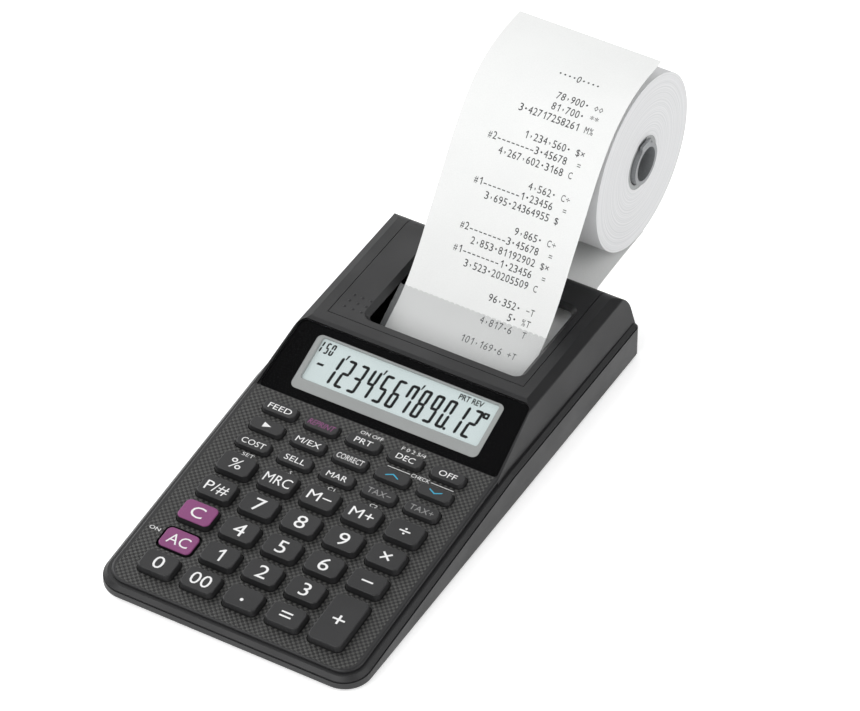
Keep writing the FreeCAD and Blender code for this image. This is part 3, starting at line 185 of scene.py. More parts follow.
def mesh_piece(name: str, points: Array, faces: Sequence[Sequence[int]], material: bpy.types.Material,
               smooth: bool = False) -> bpy.types.Object:
    """Makes a piece from worked-out points and faces.

    Args:
        name: the piece's name.
        points: one row per vertex, in metres in the row frame.
        faces: vertex numbers, anticlockwise seen from outside.
        material: the finish.
        smooth: whether its faces shade as one curved surface.
    Returns:
        The new object, at the origin with its place in its mesh.
    """
    mesh = bpy.data.meshes.new(name)
    mesh.from_pydata(np.asarray(points, float).tolist(), [], [tuple(int(i) for i in f) for f in faces])
    mesh.materials.append(material)
    mesh.polygons.foreach_set("use_smooth", [smooth] * len(mesh.polygons))
    mesh.update()
    piece = bpy.data.objects.new(name, mesh)
    bpy.context.scene.collection.objects.link(piece)
    log.info("%s: %d faces", name, len(faces))
    return piece


def rounded_outline(wide: float, high: float, radius: float, steps: int = 6) -> Array:
    """Works out points round a rectangle with round corners, anticlockwise from the lower right corner.

    Each corner is a quarter circle: its centre is the corner moved in by the radius both ways, and the
    angle runs over 90 degrees in equal steps.

    Args:
        wide: the rectangle's width.
        high: its height.
        radius: the radius of its corners.
        steps: straight pieces in each corner.
    Returns:
        One row (x, y) per point, about the rectangle's middle.
    """
    angles = (np.arange(4)[:, None] * 90 - 90 + np.linspace(0, 90, steps + 1)[None, :]) * math.pi / 180
    centre = np.array([[1, -1], [1, 1], [-1, 1], [-1, -1]]) * np.array([wide / 2 - radius, high / 2 - radius])
    ring = np.stack([np.cos(angles), np.sin(angles)], -1) * radius + centre[:, None, :]
    return ring.reshape(-1, 2)


def rings_to_faces(rings: int, count: int) -> Array:
    """Joins neighbouring closed rings of equal length with four-cornered faces.

    Args:
        rings: how many rings there are.
        count: points in each ring.
    Returns:
        One row of four vertex numbers per face, ring after ring.
    """
    i, j = np.meshgrid(np.arange(rings - 1), np.arange(count), indexing="ij")
    here, after = i * count + j, i * count + (j + 1) % count
    return np.stack([here, after, after + count, here + count], -1).reshape(-1, 4)


# ---------------------------------------------------------------- finishes
@dataclass(frozen=True)
class Finish:
    """A finish with a mottled colour, uneven gloss and a fine surface grain."""

    name: str
    colour: str
    shade: str
    roughness: float = 0.5
    uneven: float = 0.06
    grain_mm: float = 0.35
    depth_mm: float = 0.012
    cloud_mm: float = 22.22
    grain_share: float = 0.6
    metallic: float = 0.0
    ior: float = 1.5
    alpha: float = 1.0
    glow: float = 0.0

    def pattern(self, tree: Tree, place: Source, colour: Source) -> Look:
        """Changes the colour and adds a height in millimetres; a plain finish does neither."""
        return colour, None

    def make(self) -> bpy.types.Material:
        """Builds the material.

        Returns:
            The finished material, reading Object coordinates.
        """
        material = bpy.data.materials.new(self.name)
        material.use_nodes = True
        tree = material.node_tree
        tree.nodes.clear()
        place = add(tree, "TexCoord").outputs["Object"]
        # A size in millimetres becomes cells per metre.
        grain = add(tree, "TexNoise", {"Vector": place, "Scale": 1000.0 / self.grain_mm, "Detail": 2.0})
        cloud = add(tree, "TexNoise", {"Vector": place, "Scale": 1000.0 / self.cloud_mm, "Detail": 3.0})
        fine = add(tree, "Math", {0: grain, 1: self.grain_share}, operation="MULTIPLY")
        spread = add(tree, "Math", {0: cloud, 1: 1.0 - self.grain_share, 2: fine}, operation="MULTIPLY_ADD")
        # Noise seldom leaves the middle third of its range, so the middle is stretched over the whole.
        share = add(tree, "MapRange", {0: spread, 1: 0.35, 2: 0.65}, interpolation_type="SMOOTHSTEP")
        mottled = add(tree, "Mix", {0: share, 6: linear(self.shade), 7: linear(self.colour)}, data_type="RGBA")
        colour, height = self.pattern(tree, place, mottled.outputs[2])
        gloss = add(tree, "MapRange", {0: cloud, 1: 0.3, 2: 0.7, 3: self.roughness - self.uneven,
                                       4: self.roughness + self.uneven}, interpolation_type="SMOOTHSTEP")
        bump = add(tree, "Math", {0: grain, 1: self.depth_mm, 2: height or 0.0}, operation="MULTIPLY_ADD")
        relief = add(tree, "Bump", {"Height": bump, "Distance": MM, "Strength": 1.0})
        shader = add(tree, "BsdfPrincipled", {
            "Base Color": colour, "Roughness": gloss, "Normal": relief, "Metallic": self.metallic,
            "IOR": self.ior, "Alpha": self.alpha, "Emission Color": linear(self.colour),
            "Emission Strength": self.glow})
        add(tree, "OutputMaterial", {"Surface": shader})
        return material


@dataclass(frozen=True)
class TexturedPanel(Finish):
    """Moulded ABS whose key panel carries rows of small raised diamonds inside a smooth border."""

    plane: Plane = Plane(0.0)
    size_mm: tuple[float, float] = (94.8, 106.0)
    corner_mm: float = 6.5
    edge_mm: float = 0.15
    pitch_mm: float = 2.1
    rise_mm: float = 0.1
    face_mm: tuple[float, float] = (0.3, 0.2)
    peaks: tuple[float, float] = (-0.4, 0.55)
    # Painted shade: the surface between the diamonds is painted darker than the smooth border.
    ground_shade: str = "111112"
    # Painted highlight: the diamonds' tops are painted lighter.
    raised: str = "434341"

    def pattern(self, tree: Tree, place: Source, colour: Source) -> Look:
        """Lays the diamonds out in the panel's plane: their tops are painted lighter, a painted highlight, and
        the surface between them darker, painted shade.

        The height is cos(x) times cos(y), whose peaks stand on a lattice with one more in each middle.
        It is kept only inside a rectangle with round corners, where the distance past the corners'
        centres is under their radius, and only on the panel's upper face.

        Args:
            tree: the material's node tree.
            place: the Object coordinates.
            colour: the smooth border's colour.
        Returns:
            The colour with the diamonds' painted highlights and the painted shade between them in it, and their
            height in millimetres.
        """
        turned = add(tree, "Mapping", {"Vector": place, "Location": self.plane.origin,
                                       "Rotation": (self.plane.tilt, 0.0, 0.0)}, vector_type="TEXTURE")
        wave = 2 * math.pi / (self.pitch_mm * MM)
        angle = add(tree, "VectorMath", {0: turned, 1: (wave, wave, 0.0)}, operation="MULTIPLY")
        waves = add(tree, "SeparateXYZ", {0: add(tree, "VectorMath", {0: angle}, operation="COSINE")}).outputs
        dots = add(tree, "Math", {0: waves[0], 1: waves[1]}, operation="MULTIPLY")
        half, deep = (side / 2 * MM for side in self.size_mm)
        round_mm = self.corner_mm * MM
        # The third number is past any height, so that only x and y count.
        centres = (half - round_mm, deep - round_mm, 1.0)
        centred = add(tree, "VectorMath", {0: turned, 1: (0.0, deep, 0.0)}, operation="SUBTRACT")
        folded = add(tree, "VectorMath", {0: centred}, operation="ABSOLUTE")
        past = add(tree, "VectorMath", {0: folded, 1: centres}, operation="SUBTRACT")
        beyond = add(tree, "VectorMath", {0: past, 1: (0.0, 0.0, 0.0)}, operation="MAXIMUM")
        reach = add(tree, "VectorMath", {0: beyond}, operation="LENGTH").outputs["Value"]
        within = add(tree, "MapRange", {0: reach, 1: round_mm, 2: round_mm - self.edge_mm * MM},
                     interpolation_type="SMOOTHSTEP")
        height = add(tree, "SeparateXYZ", {0: turned}).outputs[2]
        off = add(tree, "Math", {0: height}, operation="ABSOLUTE")
        past_face, on_face = (height_mm * MM for height_mm in self.face_mm)
        on_top = add(tree, "MapRange", {0: off, 1: past_face, 2: on_face}, interpolation_type="SMOOTHSTEP")
        inside = add(tree, "Math", {0: within, 1: on_top}, operation="MULTIPLY")
        peaks = add(tree, "MapRange", {0: dots, 1: self.peaks[0], 2: self.peaks[1]},
                    interpolation_type="SMOOTHSTEP")
        share = add(tree, "Math", {0: peaks, 1: inside}, operation="MULTIPLY")
        # Painted shade between the diamonds, then a painted highlight on their tops.
        shaded_between_dots = add(tree, "Mix", {0: inside, 6: colour, 7: linear(self.ground_shade)}, data_type="RGBA").outputs[2]
        tinted = add(tree, "Mix", {0: share, 6: shaded_between_dots, 7: linear(self.raised)}, data_type="RGBA").outputs[2]
        return tinted, add(tree, "Math", {0: share, 1: self.rise_mm}, operation="MULTIPLY")


@dataclass(frozen=True)
class CappedKey(Finish):
    """A black key whose upper face carries a second colour."""

    plane: Plane = Plane(0.0)
    side: str = "1e1e1f"
    below_mm: tuple[float, float] = (0.42, 0.34)

    def pattern(self, tree: Tree, place: Source, colour: Source) -> Look:
        """Keeps the cap's colour down to about 0.4 mm below the key's upper face.

        Args:
            tree: the material's node tree.
            place: the Object coordinates.
            colour: the cap's colour.
        Returns:
            The colour of cap and sides, and no height.
        """
        turned = add(tree, "Mapping", {"Vector": place, "Location": self.plane.origin,
                                       "Rotation": (self.plane.tilt, 0.0, 0.0)}, vector_type="TEXTURE")
        height = add(tree, "SeparateXYZ", {0: turned}).outputs[2]
        low, high = (-depth * MM for depth in self.below_mm)
        cap = add(tree, "MapRange", {0: height, 1: low, 2: high}, interpolation_type="SMOOTHSTEP")
        return add(tree, "Mix", {0: cap, 6: linear(self.side), 7: colour}, data_type="RGBA").outputs[2], None


@dataclass(frozen=True)
class WoundPaper(Finish):
    """Roll paper: smooth round the roll, and edge on a stack of fine rings round an axis along X."""

    axis: tuple[float, float, float] = (0.0, 0.0, 0.0)
    ring_mm: float = 0.55
    drift_mm: float = 33.33
    drift_rings: float = 1.6
    relief_mm: float = 0.06
    # Painted shade in the gaps between the bands of turns.
    gap: str = "d0d1d2"
    gap_shade_range: tuple[float, float] = (0.35, 0.68)

    def pattern(self, tree: Tree, place: Source, colour: Source) -> Look:
        """Draws rings by the distance from the axis, their spacing uneven as a loosely wound roll's is, with
        painted shade in the gaps between them.

        Real turns are 0.07 mm apart, too fine to show, so bands of several turns are drawn instead.

        Args:
            tree: the material's node tree.
            place: the Object coordinates.
            colour: the paper's colour.
        Returns:
            The colour with its rings of painted shade, and their height in millimetres.
        """
        centred = add(tree, "VectorMath", {0: place, 1: self.axis}, operation="SUBTRACT")
        flat = add(tree, "VectorMath", {0: centred, 1: (0.0, 1.0, 1.0)}, operation="MULTIPLY")
        radius = add(tree, "VectorMath", {0: flat}, operation="LENGTH").outputs["Value"]
        drift = add(tree, "TexNoise", {"Vector": flat, "Scale": 1000.0 / self.drift_mm, "Detail": 1.0})
        shift = add(tree, "Math", {0: drift, 1: self.drift_rings}, operation="MULTIPLY")
        turns = add(tree, "Math", {0: radius, 1: 1000.0 / self.ring_mm, 2: shift}, operation="MULTIPLY_ADD")
        rings = add(tree, "TexNoise", {"W": turns, "Scale": 1.0, "Detail": 3.0}, noise_dimensions="1D")
        share = add(tree, "MapRange", {0: rings, 1: self.gap_shade_range[0], 2: self.gap_shade_range[1]},
                    interpolation_type="SMOOTHSTEP")
        rings_with_painted_shade = add(tree, "Mix", {0: share, 6: linear(self.gap), 7: colour}, data_type="RGBA").outputs[2]
        return rings_with_painted_shade, add(tree, "Math", {0: rings, 1: self.relief_mm}, operation="MULTIPLY")


@dataclass(frozen=True)
class BoardGreen(Finish):
    """Glass-fibre circuit board: green solder resist with paler copper areas under it."""

    cell_mm: float = 6.25
    relief_mm: float = 0.03
    copper: str = "4f8f5c"
    copper_range: tuple[float, float] = (0.42, 0.46)

    def pattern(self, tree: Tree, place: Source, colour: Source) -> Look:
        """Leaves copper everywhere but in diamonds about scattered points.

        The distance is summed over the three axes, which is what makes each area a diamond.

        Args:
            tree: the material's node tree.
            place: the Object coordinates.
            colour: the bare board's green.
        Returns:
            The colour with the copper in it, and the copper's height in millimetres.
        """
        cells = add(tree, "TexVoronoi", {"Vector": place, "Scale": 1000.0 / self.cell_mm}, distance="MANHATTAN",
                    feature="F1").outputs["Distance"]
        share = add(tree, "MapRange", {0: cells, 1: self.copper_range[0], 2: self.copper_range[1]},
                    interpolation_type="SMOOTHSTEP")
        tinted = add(tree, "Mix", {0: share, 6: colour, 7: linear(self.copper)}, data_type="RGBA").outputs[2]
        return tinted, add(tree, "Math", {0: share, 1: self.relief_mm}, operation="MULTIPLY")


@dataclass(frozen=True)
class Jacket(Finish):
    """A battery's printed sleeve: two colours meeting at a ring along Y."""

    change_y: float = 0.0
    edge_mm: float = 0.1
    tip: str = "a9784a"

    def pattern(self, tree: Tree, place: Source, colour: Source) -> Look:
        """Takes the copper tone past the ring.

        Args:
            tree: the material's node tree.
            place: the Object coordinates.
            colour: the sleeve's dark colour.
        Returns:
            The two colours, and no height.
        """
        along = add(tree, "SeparateXYZ", {0: place}).outputs[1]
        share = add(tree, "MapRange", {0: along, 1: self.change_y, 2: self.change_y + self.edge_mm * MM},
                    interpolation_type="SMOOTHSTEP")
        return add(tree, "Mix", {0: share, 6: colour, 7: linear(self.tip)}, data_type="RGBA").outputs[2], None


def paint(node: str, look: Finish) -> None:
    """Gives a CAD node a finish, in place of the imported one.

    Args:
        node: the CAD node's name.
        look: the finish, made into a material once and shared by the nodes that wear it.
    """
    material = bpy.data.materials.get(look.name) or look.make()
    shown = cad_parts[node]
    if not len(shown.material_slots):
        shown.data.materials.append(material)
    for slot in shown.material_slots:
        slot.material = material
    log.info("%s wears %s", node, material.name)


# ---------------------------------------------------------------- lettering
# The figure one as a stem with a flag, in capitals' heights: the built-in typeface has a bare stem.
ONE = ((0.0, 0.76), (0.0, 0.64), (0.22, 0.78), (0.22, 0.0), (0.34, 0.0), (0.34, 1.0), (0.25, 1.0))


class Typeface:
    """The built-in typeface, its outlines cached as flat meshes one capital high."""

    def __init__(self) -> None:
        """Measures a capital, then starts with the figure one alone."""
        self.cache: dict[tuple[str, float], tuple[Array, list[tuple[int, ...]]]] = {}
        self.capital = 1.0
        tall = self.outline("H")[0][:, 1]
        self.capital = float(tall.max() - tall.min())
        self.cache = {("1", 0.0): (np.array(ONE), [tuple(range(len(ONE)))])}

    def outline(self, text: str, offset: float = 0.0) -> tuple[Array, list[tuple[int, ...]]]:
        """Fills a text's outlines.

        Args:
            text: the characters.
            offset: how far each stroke's edge is moved out.
        Returns:
            The text's flat points, scaled to a capital of 1, and its faces.
        """
        if (text, offset) not in self.cache:
            curve = bpy.data.curves.new("type", "FONT")
            curve.body = text
            curve.offset = offset
            curve.resolution_u = 3
            holder = bpy.data.objects.new("type", curve)
            bpy.context.scene.collection.objects.link(holder)
            graph = bpy.context.evaluated_depsgraph_get()
            mesh = bpy.data.meshes.new_from_object(holder.evaluated_get(graph))
            points = read(mesh.vertices, "co", 3)[:, :2] / self.capital
            self.cache[(text, offset)] = (points, [tuple(p.vertices) for p in mesh.polygons])
            bpy.data.objects.remove(holder)
            bpy.data.curves.remove(curve)
            bpy.data.meshes.remove(mesh)
        return self.cache[(text, offset)]


@dataclass
class Print:
    """Ink on a surface: flat shapes gathered in the surface's own x and y, then laid on it."""

    name: str
    body: str
    look: Finish
    slot: str
    points: list[Array] = field(default_factory=list)
    faces: list[tuple[int, ...]] = field(default_factory=list)
    count: int = 0

    def shape(self, points: Array, faces: Sequence[Sequence[int]]) -> None:
        """Adds a flat shape.

        Args:
            points: one row (x, y) per point, in millimetres.
            faces: the shape's own vertex numbers.
        """
        self.points.append(np.asarray(points, float) * MM)
        self.faces += [tuple(int(i) + self.count for i in f) for f in faces]
        self.count += len(points)

    def outline(self, corners: Array | Sequence[tuple[float, float]]) -> None:
        """Adds one filled outline, its corners in millimetres."""
        self.shape(corners, [range(len(corners))])

    def text(self, face: Typeface, words: str, height: float, at: tuple[float, float], wide: float = 1.0,
             slant: float = 0.0, fit: float | None = None, offset: float = 0.0) -> None:
        """Adds a line of type.

        Args:
            face: the typeface.
            words: what it says.
            height: a capital's height, in millimetres.
            at: the line's middle, at half a capital's height, in millimetres.
            wide: widening of the letters.
            slant: lean to the right, as a share of the height.
            fit: the line's width in millimetres, in place of wide.
            offset: how far each stroke's edge is moved out.
        """
        flat, faces = face.outline(words, offset)
        low, high = flat[:, 0].min(), flat[:, 0].max()
        share = fit / (height * (high - low)) if fit else wide
        x = (flat[:, 0] - (low + high) / 2) * share + (flat[:, 1] - 0.5) * slant
        self.shape(np.stack([x * height + at[0], (flat[:, 1] - 0.5) * height + at[1]], -1), faces)

    def lay(self, carry: Carry) -> None:
        """Puts the ink on its surface, as a piece that rides on its body.

        Args:
            carry: takes flat points in metres to the row frame.
        """
        material = bpy.data.materials.get(self.look.name) or self.look.make()
        piece = mesh_piece(self.name, carry(np.concatenate(self.points)), self.faces, material)
        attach(piece, self.body)


# ---------------------------------------------------------------- the case
@dataclass
class Shell:
    """The two halves of the case, the printer lid and its grip dots; sizes in millimetres."""

    dots: int = 3
    dot_pitch: float = 3.4
    dot_wide: float = 1.3
    dot_deep: float = 0.35
    dot_sunk: float = 0.01
    dot_from_left: float = 3.6
    dot_from_front: float = 5.0

    def dress(self, panel: Plane) -> None:
        """Gives the case its moulded finishes.

        Args:
            panel: the key panel's plane.
        """
        # Moulded ABS, spark-eroded tool: a dead-black body that catches light as a soft grey sheen.
        # The key panel's diamonds carry a painted highlight on their tops and painted shade between them.
        paint("top_case", TexturedPanel("moulded_abs_diamond_texture", "1c1c1d", "18181a", 0.46, 0.05, 0.45,
                                        0.016, plane=panel))
        for node in ("bottom_case", "printer_cover", "battery_door"):
            paint(node, Finish("moulded_abs_black", "1c1c1d", "18181a", 0.46, 0.05, 0.45, 0.016))

    def build(self) -> None:
        """Makes the lid's grip dots.

        Each dot is a shallow dome: rings whose height falls as the square of the radius. All the domes
        are one dome added to a grid of places.
        """
        low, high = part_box("printer_cover")
        radii = np.linspace(1.0, 0.0, 6).clip(0.01)[:, None]
        angles = np.linspace(0, 2 * math.pi, 24, endpoint=False)[None, :]
        dome = np.stack([radii * np.cos(angles) * self.dot_wide / 2, radii * np.sin(angles) * self.dot_wide / 2,
                         (1 - radii ** 2) * self.dot_deep + 0 * angles], -1).reshape(-1, 3) * MM
        steps = np.arange(self.dots) * self.dot_pitch
        x, y = np.meshgrid(low.x + (self.dot_from_left + steps) * MM, low.y + (self.dot_from_front + steps) * MM,
                           indexing="ij")
        places = np.stack([x, y, np.full(x.shape, high.z - self.dot_sunk * MM)], -1).reshape(-1, 1, 3)
        faces = rings_to_faces(radii.size, angles.size)[None] + len(dome) * np.arange(len(places))[:, None, None]
        # The same ABS, painted a little greyer than the lid: a painted highlight on the domes.
        dark = Finish("moulded_abs_grip_painted_highlight", "232325", "1d1d1f", 0.5).make()
        piece = mesh_piece("cover_grip_dots", (dome + places).reshape(-1, 3), faces.reshape(-1, 4), dark, True)
        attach(piece, "cover")


# ---------------------------------------------------------------- keys
class Ink(Enum):
    """The pad-printed inks: a thin matt film, uneven where it was wiped."""

    WHITE = Finish("pad_print_white", "efefef", "e2e2e2", 0.6, 0.05, 0.2, 0.0)
    MAGENTA = Finish("pad_print_magenta", "8f4b80", "854376", 0.6, 0.05, 0.2, 0.0)
    GREY = Finish("pad_print_grey", "8e8e8e", "858585", 0.6, 0.05, 0.2, 0.0)
    BLUE = Finish("pad_print_blue", "3aa7c9", "3398b8", 0.6, 0.05, 0.2, 0.0)


class Sign(Enum):
    """What a legend draws in place of words."""

    ARROW = "arrow"
    POINT = "point"
    UP = "up"
    DOWN = "down"


@dataclass(frozen=True)
class Legend:
    """What is printed on a key: words or a sign, capital height and width in mm, ink and slant."""

    says: str | Sign
    height: float = 2.4
    width: float = 0.0
    ink: Ink = Ink.WHITE
    slant: float = 0.0


LEGENDS: dict[str, Legend] = {
    "key_feed": Legend("FEED", 2.4, 9.2), "key_reprint": Legend("REPRINT", 2.4, 10.1, Ink.MAGENTA, 0.15),
    "key_print": Legend("PRT", 2.4, 6.8), "key_decimal": Legend("DEC", 2.4, 7.1),
    "key_off": Legend("OFF", 2.4, 6.8), "key_right_shift": Legend(Sign.ARROW),
    "key_memory_exchange": Legend("M/EX", 2.4, 9.6), "key_correct": Legend("CORRECT", 2.4, 10.5),
    "key_check_up": Legend(Sign.UP, ink=Ink.BLUE), "key_check_down": Legend(Sign.DOWN, ink=Ink.BLUE),
    "key_cost": Legend("COST", 2.4, 9.2), "key_sell": Legend("SELL", 2.4, 8.1),
    "key_margin": Legend("MAR", 2.4, 7.9), "key_tax_minus": Legend("TAX−", 2.4, 9.2, Ink.GREY),
    "key_tax_plus": Legend("TAX+", 2.4, 9.2, Ink.GREY), "key_percent": Legend("%", 4.4),
    "key_memory_recall": Legend("MRC", 4.1, 10.5), "key_memory_minus": Legend("M−", 4.1, 9.0),
    "key_memory_plus": Legend("M+", 4.1, 9.0), "key_divide": Legend("÷", 5.2),
    "key_non_add": Legend("P/#", 4.1, 9.0), "key_7": Legend("7", 5.5), "key_8": Legend("8", 5.5),
    "key_9": Legend("9", 5.5), "key_multiply": Legend("×", 5.5), "key_clear": Legend("C", 4.8),
    "key_4": Legend("4", 5.5), "key_5": Legend("5", 5.5), "key_6": Legend("6", 5.5),
    "key_minus": Legend("−", 5.5), "key_all_clear": Legend("AC", 4.4, 8.3), "key_1": Legend("1", 5.5),
    "key_2": Legend("2", 5.5), "key_3": Legend("3", 5.5), "key_plus": Legend("+", 5.8),
    "key_0": Legend("0", 5.2), "key_00": Legend("00", 5.2, 7.7), "key_point": Legend(Sign.POINT),
    "key_equals": Legend("=", 5.5),
}

# Small words on the panel: words, the key they belong to, shift right and up from its middle, and width, in mm.
PANEL_WORDS: list[tuple[str, str, float, float, float | None]] = [
    ("SET", "key_percent", 0.4, 6.8, 4.6), ("S", "key_memory_recall", 0.8, 6.6, None),
    ("C1", "key_memory_minus", 0.4, 6.6, 2.6), ("C2", "key_memory_plus", 0.4, 6.6, 2.8),
    ("ON OFF", "key_print", 0.4, 4.8, 8.9), ("F 0 2 5/4", "key_decimal", 0.4, 4.8, 9.4),
    ("ON", "key_all_clear", -10.6, 1.5, 4.2),
]


@dataclass
class Keyboard:
    """All the keys, their legends and the small print beside them on the panel; sizes in millimetres."""

    face: Typeface
    panel: Plane
    lift: float = 0.02
    drop: float = 0.1
    single_wide: float = 1.16
    arrow: tuple[tuple[float, float], ...] = ((-1.5, -1.2), (1.6, 0.0), (-1.5, 1.2))
    arm: tuple[tuple[float, float], ...] = ((0.0, 0.85), (2.5, -0.45), (2.5, -0.95), (0.0, 0.3))
    point_wide: float = 1.3
    point_drop: float = 1.2
    small_high: float = 1.5
    check_up: float = 4.5
    check_wide: float = 7.2
    rule_gap: float = 4.2
    rule_past: float = 4.6
    rule_thick: float = 0.24

    def dress(self) -> None:
        """Gives the keys and the contact sheet their finishes."""
        # Moulded ABS keys, finer grain than the case, so that they shine a little more.
        for node in LEGENDS:
            paint(node, Finish("moulded_abs_key", "272728", "222223", 0.42, 0.04, 0.3, 0.006))
        for node in ("key_clear", "key_all_clear"):
            top = self.panel.into(vertices(node))[:, 2].max()
            at = self.panel.out(np.array([[0.0, 0.0, top]]))[0]
            # Two-shot ABS: a coloured cap on a black skirt.
            paint(node, CappedKey("moulded_abs_magenta_cap_" + node[4:], "8a4379", "803c70", 0.42, 0.04, 0.3,
                                  0.006, plane=Plane(self.panel.tilt, tuple(at))))
        # Moulded silicone sheet: soft, grey and matt.
        paint("key_contact_sheet", Finish("silicone_grey", "9a9c9e", "8d8f92", 0.6))

    def middle(self, node: str) -> tuple[float, float, float]:
        """Finds a key in the panel's plane.

        Args:
            node: the key's name.
        Returns:
            The x and y of its middle and the z of its upper face, in millimetres.
        """
        points = self.panel.into(vertices(node)) / MM
        low, high = points.min(0), points.max(0)
        return (low[0] + high[0]) / 2, (low[1] + high[1]) / 2, high[2]

    def build(self) -> None:
        """Prints every key's legend and the panel's small words."""
        for node, legend in LEGENDS.items():
            x, y, top = self.middle(node)
            ink = Print("legend_" + node[4:], "b_" + node, legend.ink.value, "key_black")
            if isinstance(legend.says, Sign):
                self.sign(ink, legend.says, x, y)
            else:
                ink.text(self.face, legend.says, legend.height, (x, y - self.drop), self.single_wide,
                         legend.slant, legend.width or None)
            ink.lay(self.panel.level((top + self.lift) * MM))
        self.small_print()

    def sign(self, ink: Print, sign: Sign, x: float, y: float) -> None:
        """Draws a key's sign; a chevron is one arm and its mirror image.

        Args:
            ink: the print to add to.
            sign: which sign.
            x: the key's middle.
            y: the key's middle.
        """
        if sign is Sign.ARROW:
            ink.outline(np.array(self.arrow) + (x, y))
        elif sign is Sign.POINT:
            dot = rounded_outline(self.point_wide, self.point_wide, self.point_wide / 2, 4)
            ink.outline(dot + (x, y - self.point_drop))
        else:
            way = 1.0 if sign is Sign.UP else -1.0
            for side in (-1.0, 1.0):
                arm = np.array(self.arm) * (side, way)
                ink.outline((arm if side * way < 0 else arm[::-1]) + (x, y))

    def small_print(self) -> None:
        """Prints the words and the two rules between the keys on the panel itself."""
        ink = Print("panel_print", "case", Ink.WHITE.value, "case_black")
        for words, key, right, up, wide in PANEL_WORDS:
            x, y, _ = self.middle(key)
            ink.text(self.face, words, self.small_high, (x + right, y + up), fit=wide)
        left, right = self.middle("key_check_up"), self.middle("key_check_down")
        x, y = (left[0] + right[0]) / 2, left[1] + self.check_up
        ink.text(self.face, "CHECK", self.small_high, (x, y), fit=self.check_wide)
        foot, head = y - self.rule_thick / 2, y + self.rule_thick / 2
        for low, high in ((left[0] - self.rule_past, x - self.rule_gap),
                          (x + self.rule_gap, right[0] + self.rule_past)):
            ink.outline([(low, foot), (high, foot), (high, head), (low, head)])
        ink.lay(self.panel.level(self.lift * MM))


# ---------------------------------------------------------------- display
SEGMENTS: dict[str, str] = {"0": "abcdef", "1": "bc", "2": "abged", "3": "abgcd", "4": "fgbc", "5": "afgcd",
                            "6": "afgedc", "7": "abcf", "8": "abcdefg", "9": "abfgcd"}


@dataclass(frozen=True)
class Figures:
    """A row of seven-segment figures in one size, in millimetres: box, stroke and lean."""

    low: float
    high: float
    wide: float
    stroke: float
    lean: float = 0.075
    gap: float = 0.1
    taper: float = 0.55

    def draw(self, ink: Print, figure: str, x: float) -> None:
        """Adds one figure's lit segments.

        A segment is a long six-cornered bar between two junctions, pointed where it meets its
        neighbours. The whole leans to the right in proportion to the height.

        Args:
            ink: the print to add to.
            figure: which figure.
            x: the left edge of its box.
        """
        left = foot = self.stroke / 2
        right, head, waist = self.wide - left, self.high - self.low - foot, (self.high - self.low) / 2
        top = self.high - self.low
        ends = {"a": ((0, head), (self.wide, head)), "g": ((0, waist), (self.wide, waist)),
                "d": ((0, foot), (self.wide, foot)), "f": ((left, waist), (left, top)),
                "b": ((right, waist), (right, top)), "e": ((left, 0), (left, waist)),
                "c": ((right, 0), (right, waist))}
        for letter in SEGMENTS[figure]:
            first, last = (np.array(end, float) for end in ends[letter])
            run = (last - first) / np.linalg.norm(last - first)
            side = np.array([-run[1], run[0]]) * self.stroke / 2
            start, stop, tip = first + run * self.gap, last - run * self.gap, run * self.stroke * self.taper
            bar = np.array([start, start + tip - side, stop - tip - side, stop, stop - tip + side,
                            start + tip + side])
            ink.outline(bar + np.outer(bar[:, 1] * self.lean, (1.0, 0.0)) + (x, self.low))


